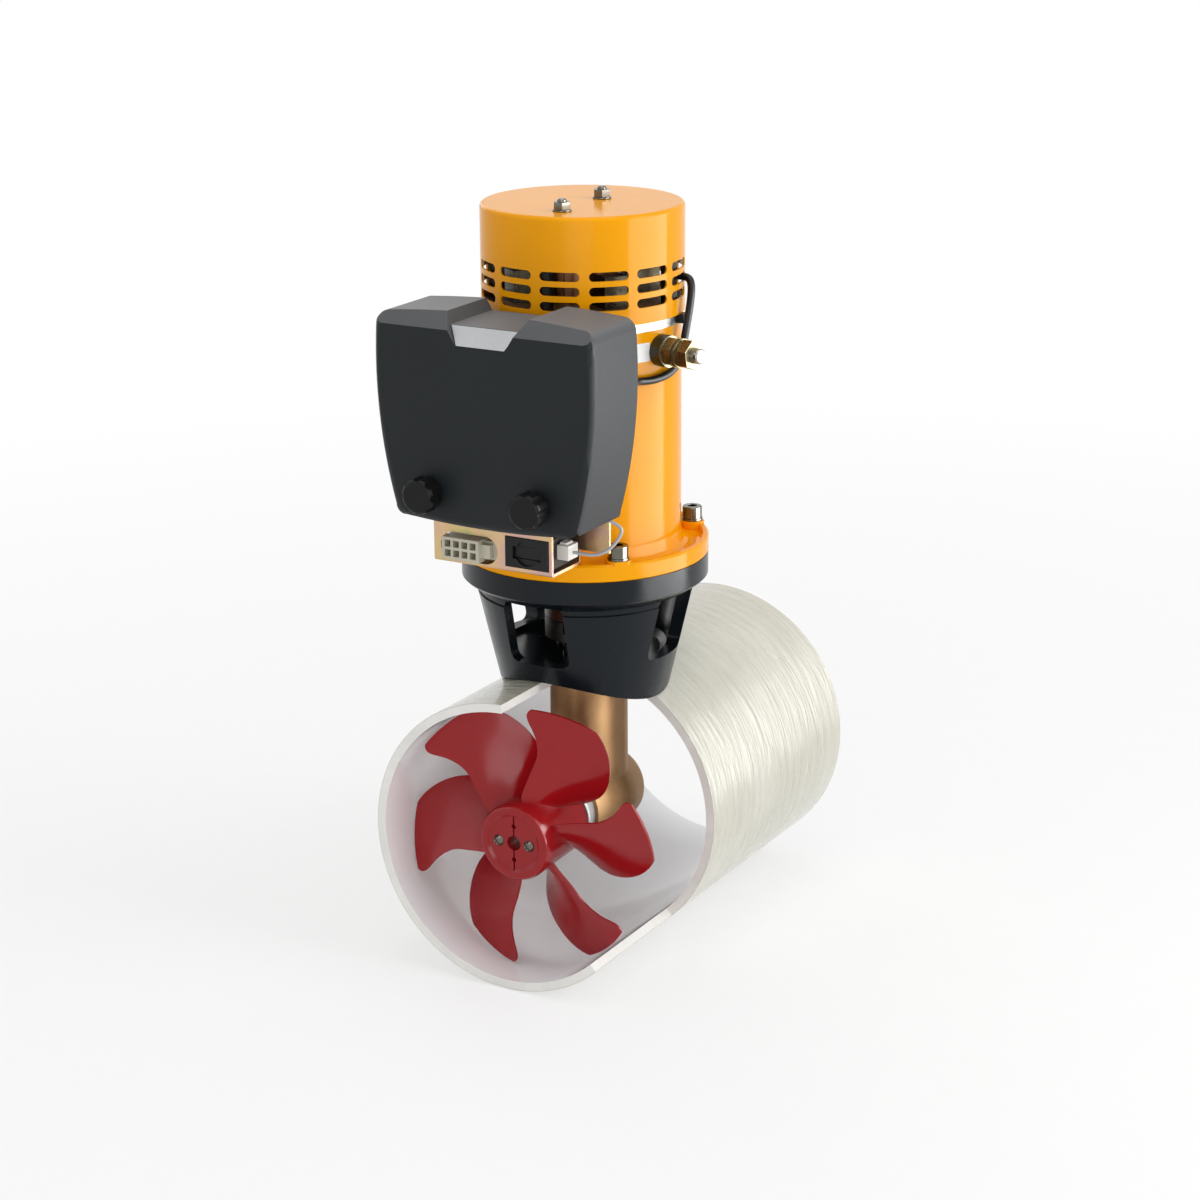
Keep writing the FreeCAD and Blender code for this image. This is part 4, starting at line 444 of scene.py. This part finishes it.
nodeFinish = {
    "tunnel": "laminate", "saddle_seal": "sealRubber", "intermediate_flange": "flangePaint",
    "tail_piece": "bronze", "case_plug": "bronze", "bearing_carrier": "plugSteel",
    "clamp_bolts": "stainless", "anode": "zincCasting", "shaft_seals": "sealRubber",
    "leg_bearing_outer_rings": "bearingSteel", "case_bearing_outer_rings": "bearingSteel",
    "motor_bearing_outer_rings": "bearingSteel", "bearing_balls": "bearingSteel",
    "motor_base": "motorPaint", "flange_screws": "stainless", "yoke": "motorPaint",
    "pole_shoes": "softIron", "field_coils": "copperWinding", "end_shield": "shieldCasting",
    "brush_ring": "ringLaminate", "brush_holders": "holderBrass", "brushes": "brushCarbon",
    "brush_springs": "plugSteel", "motor_cap": "motorPaint", "cap_studs": "stainless",
    "cap_nuts": "stainless", "terminal_stud": "studSteel", "terminal_insulator": "insulatorResin",
    "terminal_nuts": "terminalPlate", "control_bracket": "passivated", "bracket_screws": "stainless",
    "connector": "nylon", "fuse_holder": "blackPlastic", "lead_plug": "plugNylon",
    "relays": "relayPlastic", "bus_bars": "busCopper", "cover_studs": "studSteel",
    "heat_lead": "heatLeadSkin", "control_lead": "greyLeadSkin", "lead_clip": "blackPlastic",
    "motor_shaft": "groundSteel", "armature_core": "softIron", "armature_windings": "copperWinding",
    "commutator": "commutatorCopper", "coupling_upper": "couplingResin",
    "coupling_spider": "sealRubber", "coupling_lower": "couplingMetal", "drive_shaft": "groundSteel",
    "bevel_pinion": "gearSteel", "drive_bearing_inner_rings": "bearingSteel",
    "propeller": "redResin", "propeller_shaft": "studSteel", "crown_wheel": "gearSteel",
    "propeller_screws": "stainless", "case_bearing_inner_rings": "bearingSteel",
    "cover": "coverPlastic", "badge": "badgeSilver", "knob_left": "knobPlastic",
    "knob_right": "knobPlastic", "fuse": "blackPlastic",
}

bodyOf = {name: body for body, names in frame["record"]["behaviour"]["bodies"].items() for name in names}

for name, piece in nodes.items():
    piece.data.materials.clear()
    piece.data.materials.append(finishes[nodeFinish[name]])
print("finishes put on the frame's nodes")


def pick(piece):
    if bpy.context.object is not None and bpy.context.object.mode != "OBJECT":
        bpy.ops.object.mode_set(mode="OBJECT")
    bpy.ops.object.select_all(action="DESELECT")
    piece.select_set(True)
    bpy.context.view_layer.objects.active = piece


# a copy of each of these nodes, with joined faces, eased edges and smooth rounds:
# the edge's width, its steps, and the angle in degrees from which a corner counts as an edge
easedEdges = {
    "tunnel": (0.0007, 2, 32), "intermediate_flange": (0.0010, 3, 24), "motor_base": (0.0006, 2, 28),
    "yoke": (0.0005, 2, 32), "motor_cap": (0.00025, 1, 32), "end_shield": (0.0004, 2, 32),
    "tail_piece": (0.0008, 3, 32), "case_plug": (0.0006, 2, 32), "anode": (0.0005, 2, 32),
    "propeller": (0.0005, 2, 40), "cover": (0.0008, 3, 30), "knob_left": (0.0005, 2, 32),
    "knob_right": (0.0005, 2, 32), "control_bracket": (0.0003, 2, 32), "relays": (0.0006, 2, 32),
    "flange_screws": (0.0003, 2, 32), "terminal_nuts": (0.0003, 2, 32), "cap_nuts": (0.0003, 2, 32),
    "clamp_bolts": (0.0003, 2, 32), "fuse_holder": (0.0003, 2, 32),
    "fuse": (0.0003, 2, 32), "lead_plug": (0.0004, 2, 32), "coupling_upper": (0.0006, 2, 32),
    "coupling_lower": (0.0005, 2, 32), "terminal_insulator": (0.0004, 2, 32), "badge": (0.0002, 2, 32),
    "propeller_screws": (0.0002, 2, 32), "bus_bars": (0.0003, 2, 32), "cap_studs": (0.0002, 1, 32),
    "terminal_stud": (0.0003, 2, 32), "cover_studs": (0.0003, 2, 32), "lead_clip": (0.0003, 2, 32),
}

easing = {
    "mergeWithin": 0.00001,
    "flatDeg": 0.3,
    "smoothDeg": 34,
    "faceWeight": 50,
}


def easedCopy(name, width, segments, sharpDeg):
    source = nodes[name]
    piece = bpy.data.objects.new(name + "Eased", source.data.copy())
    bpy.context.scene.collection.objects.link(piece)
    pick(piece)
    bpy.ops.mesh.customdata_custom_splitnormals_clear()
    bpy.ops.object.mode_set(mode="EDIT")
    bpy.ops.mesh.select_all(action="SELECT")
    bpy.ops.mesh.remove_doubles(threshold=easing["mergeWithin"])
    bpy.ops.mesh.dissolve_limited(angle_limit=math.radians(easing["flatDeg"]))
    bpy.ops.object.mode_set(mode="OBJECT")
    bevel = piece.modifiers.new("easedEdge", "BEVEL")
    bevel.width = width
    bevel.segments = segments
    bevel.limit_method = "ANGLE"
    bevel.angle_limit = math.radians(sharpDeg)
    bpy.ops.object.modifier_apply(modifier=bevel.name)
    bpy.ops.object.shade_smooth_by_angle(angle=math.radians(easing["smoothDeg"]))
    even = piece.modifiers.new("evenNormals", "WEIGHTED_NORMAL")
    even.weight = easing["faceWeight"]
    even.keep_sharp = True
    bpy.ops.object.modifier_apply(modifier=even.name)
    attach(piece, bodyOf[name])
    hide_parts(name)
    return piece


eased = {name: easedCopy(name, *values) for name, values in easedEdges.items()}
print("eased pieces:", len(eased))

# blank paper label beside the terminal
yokeLabel = {
    "radius": 0.06342,
    "thickness": 0.00012,
    "middleZ": 0.3175,
    "height": 0.0120,
    "centreDeg": -27.0,
    "halfWidthDeg": 7.6,
    "segments": 360,
    "smoothDeg": 30,
}


def makeLabel(values):
    bpy.ops.object.select_all(action="DESELECT")
    bpy.ops.mesh.primitive_cylinder_add(vertices=values["segments"], radius=values["radius"],
                                        depth=values["height"], end_fill_type="NOTHING",
                                        location=(0, 0, values["middleZ"]))
    piece = bpy.context.object
    piece.name = "blankLabel"
    bpy.ops.object.mode_set(mode="EDIT")
    bpy.ops.mesh.select_mode(type="FACE")
    bpy.ops.mesh.select_all(action="DESELECT")
    bpy.ops.object.mode_set(mode="OBJECT")
    for face in piece.data.polygons:
        angle = math.degrees(math.atan2(face.center.y, face.center.x))
        face.select = abs(angle - values["centreDeg"]) > values["halfWidthDeg"]
    bpy.ops.object.mode_set(mode="EDIT")
    bpy.ops.mesh.delete(type="FACE")
    bpy.ops.object.mode_set(mode="OBJECT")
    bpy.ops.object.transform_apply(location=True, rotation=True, scale=True)
    sheet = piece.modifiers.new("paperThickness", "SOLIDIFY")
    sheet.thickness = values["thickness"]
    sheet.offset = 1
    bpy.ops.object.modifier_apply(modifier=sheet.name)
    bpy.ops.object.shade_smooth_by_angle(angle=math.radians(values["smoothDeg"]))
    piece.data.materials.append(finishes["labelPaper"])
    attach(piece, "drive_unit")


makeLabel(yokeLabel)
print("label made")

# brass sockets in the cells of the plug housing
contacts = {
    "firstX": -0.0367,
    "firstZ": 0.1954,
    "pitch": 0.0062,
    "columns": 4,
    "rows": 2,
    "frontY": -0.1068,
    "length": 0.0080,
    "radius": 0.0011,
    "wall": 0.0003,
    "facets": 20,
    "lipShare": 0.35,
    "lipSteps": 2,
    "sharpDeg": 50,
    "smoothDeg": 35,
}


def makeContacts(values):
    bpy.ops.object.select_all(action="DESELECT")
    middle = values["frontY"] + values["length"] / 2
    bpy.ops.mesh.primitive_cylinder_add(vertices=values["facets"], radius=values["radius"],
                                        depth=values["length"], end_fill_type="NOTHING",
                                        rotation=(math.radians(90), 0, 0),
                                        location=(values["firstX"], middle, values["firstZ"]))
    first = bpy.context.object
    first.name = "socket1"
    bpy.ops.object.transform_apply(location=True, rotation=True, scale=True)
    wall = first.modifiers.new("sleeveWall", "SOLIDIFY")
    wall.thickness = values["wall"]
    wall.offset = -1
    bpy.ops.object.modifier_apply(modifier=wall.name)
    lip = first.modifiers.new("rolledLip", "BEVEL")
    lip.width = values["wall"] * values["lipShare"]
    lip.segments = values["lipSteps"]
    lip.limit_method = "ANGLE"
    lip.angle_limit = math.radians(values["sharpDeg"])
    bpy.ops.object.modifier_apply(modifier=lip.name)
    bpy.ops.object.shade_smooth_by_angle(angle=math.radians(values["smoothDeg"]))
    first.data.materials.append(finishes["contactBrass"])
    sockets = [first]
    for place in range(1, values["columns"] * values["rows"]):
        row, column = divmod(place, values["columns"])
        pick(sockets[0])
        bpy.ops.object.duplicate(linked=False)
        copy = bpy.context.object
        copy.name = f"socket{place + 1}"
        copy.location = (column * values["pitch"], 0, row * values["pitch"])
        bpy.ops.object.transform_apply(location=True, rotation=False, scale=False)
        sockets.append(copy)
    for socket in sockets:
        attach(socket, "drive_unit")


makeContacts(contacts)
print("contacts made")

# leads, with the points of their routes in metres
leads = {
    "heatLead": {"node": "heat_lead", "radius": 0.0025, "length": 0.1610, "points": [
        (0.0545, 0.0199, 0.3586), (0.0646, 0.0214, 0.3593), (0.0695, 0.0180, 0.3545),
        (0.0709, 0.0131, 0.3430), (0.0704, 0.0093, 0.3300), (0.0693, 0.0061, 0.3160),
        (0.0676, 0.0012, 0.3045), (0.0661, -0.0093, 0.3005), (0.0626, -0.0228, 0.2995),
        (0.0584, -0.0345, 0.3010), (0.0613, -0.0465, 0.3023), (0.0625, -0.0580, 0.3034),
        (0.0620, -0.0695, 0.3042), (0.0583, -0.0795, 0.3042), (0.0515, -0.0870, 0.3032),
    ]},
    "controlLead": {"node": "control_lead", "radius": 0.0011, "length": 0.0555, "points": [
        (0.0423, -0.0880, 0.2009), (0.0483, -0.0880, 0.2009), (0.0553, -0.0875, 0.2006),
        (0.0623, -0.0855, 0.2022), (0.0676, -0.0820, 0.2070), (0.0711, -0.0790, 0.2130),
        (0.0717, -0.0780, 0.2176), (0.0679, -0.0785, 0.2203), (0.0625, -0.0800, 0.2222),
        (0.0583, -0.0815, 0.2260),
    ]},
}
leadRound = 6   # steps round the lead
leadSteps = 24  # steps along the lead between two points


def runLead(name, values):
    curve = bpy.data.curves.new(name, "CURVE")
    curve.dimensions = "3D"
    curve.bevel_depth = values["radius"]
    curve.bevel_resolution = leadRound
    curve.resolution_u = leadSteps
    curve.use_fill_caps = True
    spline = curve.splines.new("NURBS")
    spline.points.add(len(values["points"]) - 1)
    for point, place in zip(spline.points, values["points"]):
        point.co = (*place, 1)
    spline.order_u = 3
    spline.use_endpoint_u = True
    piece = bpy.data.objects.new(name, curve)
    bpy.context.scene.collection.objects.link(piece)
    curve.materials.append(finishes[nodeFinish[values["node"]]])
    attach(piece, "drive_unit")
    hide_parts(values["node"])


for name, values in leads.items():
    runLead(name, values)
print("leads run")

# studio: pale floor, white surround, soft lamps
studio = {
    "floorSize": 8.0,
    "floorDrop": 0.0005,
    "floorRoughness": 0.8,
    "floorTint": [(0.3, (0.86, 0.86, 0.86)), (0.7, (0.88, 0.88, 0.88))],
    "floorGlow": (0.62, 1.0),
    "glowReach": (0.3, 1.6),
    "aim": (0, 0, 0.15),
    "lamps": {
        "keyPanel": {"place": (2.05, 0.35, 1.10), "wide": 1.3, "tall": 2.2, "power": 26},
        "topPanel": {"place": (0.2, -0.2, 2.7), "wide": 1.6, "tall": 1.6, "power": 18},
        "fillPanel": {"place": (-1.7, -1.8, 1.0), "wide": 1.2, "tall": 2.2, "power": 4},
        "frontPanel": {"place": (1.0, -2.1, 0.45), "wide": 1.3, "tall": 1.0, "power": 9.5},
        "backPanel": {"place": (-1.9, 1.3, 1.4), "wide": 1.2, "tall": 1.8, "power": 8},
        "glossPanel": {"place": (0.715, 0.227, 0.22), "wide": 0.75, "tall": 0.62, "power": 13},
    },
    "roomLight": 0.46,
}


# one where the camera or a reflection meets the surface, none where light bounces off it
def seenDirectly(tree):
    path = tree.nodes.new("ShaderNodeLightPath")
    seen = mathOf(tree, "MAXIMUM", path.outputs["Is Camera Ray"], path.outputs["Is Glossy Ray"])
    return mathOf(tree, "MAXIMUM", seen, path.outputs["Is Transmission Ray"])


def buildStudio(settings):
    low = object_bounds()[0]
    bpy.ops.object.select_all(action="DESELECT")
    bpy.ops.mesh.primitive_plane_add(size=settings["floorSize"],
                                     location=(0, 0, low.z - settings["floorDrop"]))
    floor = bpy.context.object
    floor.name = "studioFloor"
    floor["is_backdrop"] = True
    material = bpy.data.materials.new("floorPaper")
    material.use_nodes = True
    tree = material.node_tree
    shader = tree.nodes["Principled BSDF"]
    shader.inputs["Roughness"].default_value = settings["floorRoughness"]
    where = tree.nodes.new("ShaderNodeTexCoord").outputs["Object"]
    paper = rampOf(tree, noiseOf(tree, where, 40, 3), settings["floorTint"])
    tree.links.new(paper, shader.inputs["Base Color"])
    glow = tree.nodes.new("ShaderNodeEmission")
    length = tree.nodes.new("ShaderNodeVectorMath")
    length.operation = "LENGTH"
    tree.links.new(where, length.inputs[0])
    away = rangeOf(tree, length.outputs["Value"], *settings["floorGlow"], *settings["glowReach"])
    mix = tree.nodes.new("ShaderNodeMixShader")
    tree.links.new(mathOf(tree, "MULTIPLY", away, seenDirectly(tree)), mix.inputs["Fac"])
    tree.links.new(shader.outputs["BSDF"], mix.inputs[1])
    tree.links.new(glow.outputs["Emission"], mix.inputs[2])
    tree.links.new(mix.outputs["Shader"], tree.nodes["Material Output"].inputs["Surface"])
    floor.data.materials.append(material)
    world = bpy.data.worlds.new("studioRoom")
    bpy.context.scene.world = world
    world.use_nodes = True
    tree = world.node_tree
    light = tree.nodes["Background"]
    light.inputs["Color"].default_value = (1, 1, 1, 1)
    light.inputs["Strength"].default_value = settings["roomLight"]
    shown = tree.nodes.new("ShaderNodeBackground")
    shown.inputs["Color"].default_value = (1, 1, 1, 1)
    mix = tree.nodes.new("ShaderNodeMixShader")
    tree.links.new(seenDirectly(tree), mix.inputs["Fac"])
    tree.links.new(light.outputs["Background"], mix.inputs[1])
    tree.links.new(shown.outputs["Background"], mix.inputs[2])
    tree.links.new(mix.outputs["Shader"], tree.nodes["World Output"].inputs["Surface"])
    for name, values in settings["lamps"].items():
        data = bpy.data.lights.new(name, "AREA")
        data.shape = "RECTANGLE"
        data.size = values["wide"]
        data.size_y = values["tall"]
        data.energy = values["power"]
        lamp = bpy.data.objects.new(name, data)
        bpy.context.scene.collection.objects.link(lamp)
        lamp.visible_camera = False
        lamp.visible_diffuse = name != "glossPanel"  # this one only draws highlights
        aim = Vector(settings["aim"]) - Vector(values["place"])
        turn = aim.to_track_quat("-Z", "Y").to_matrix().to_4x4()
        lamp.matrix_world = Matrix.Translation(values["place"]) @ turn


buildStudio(studio)
bpy.context.scene.view_settings.view_transform = "Standard"
print("studio built")
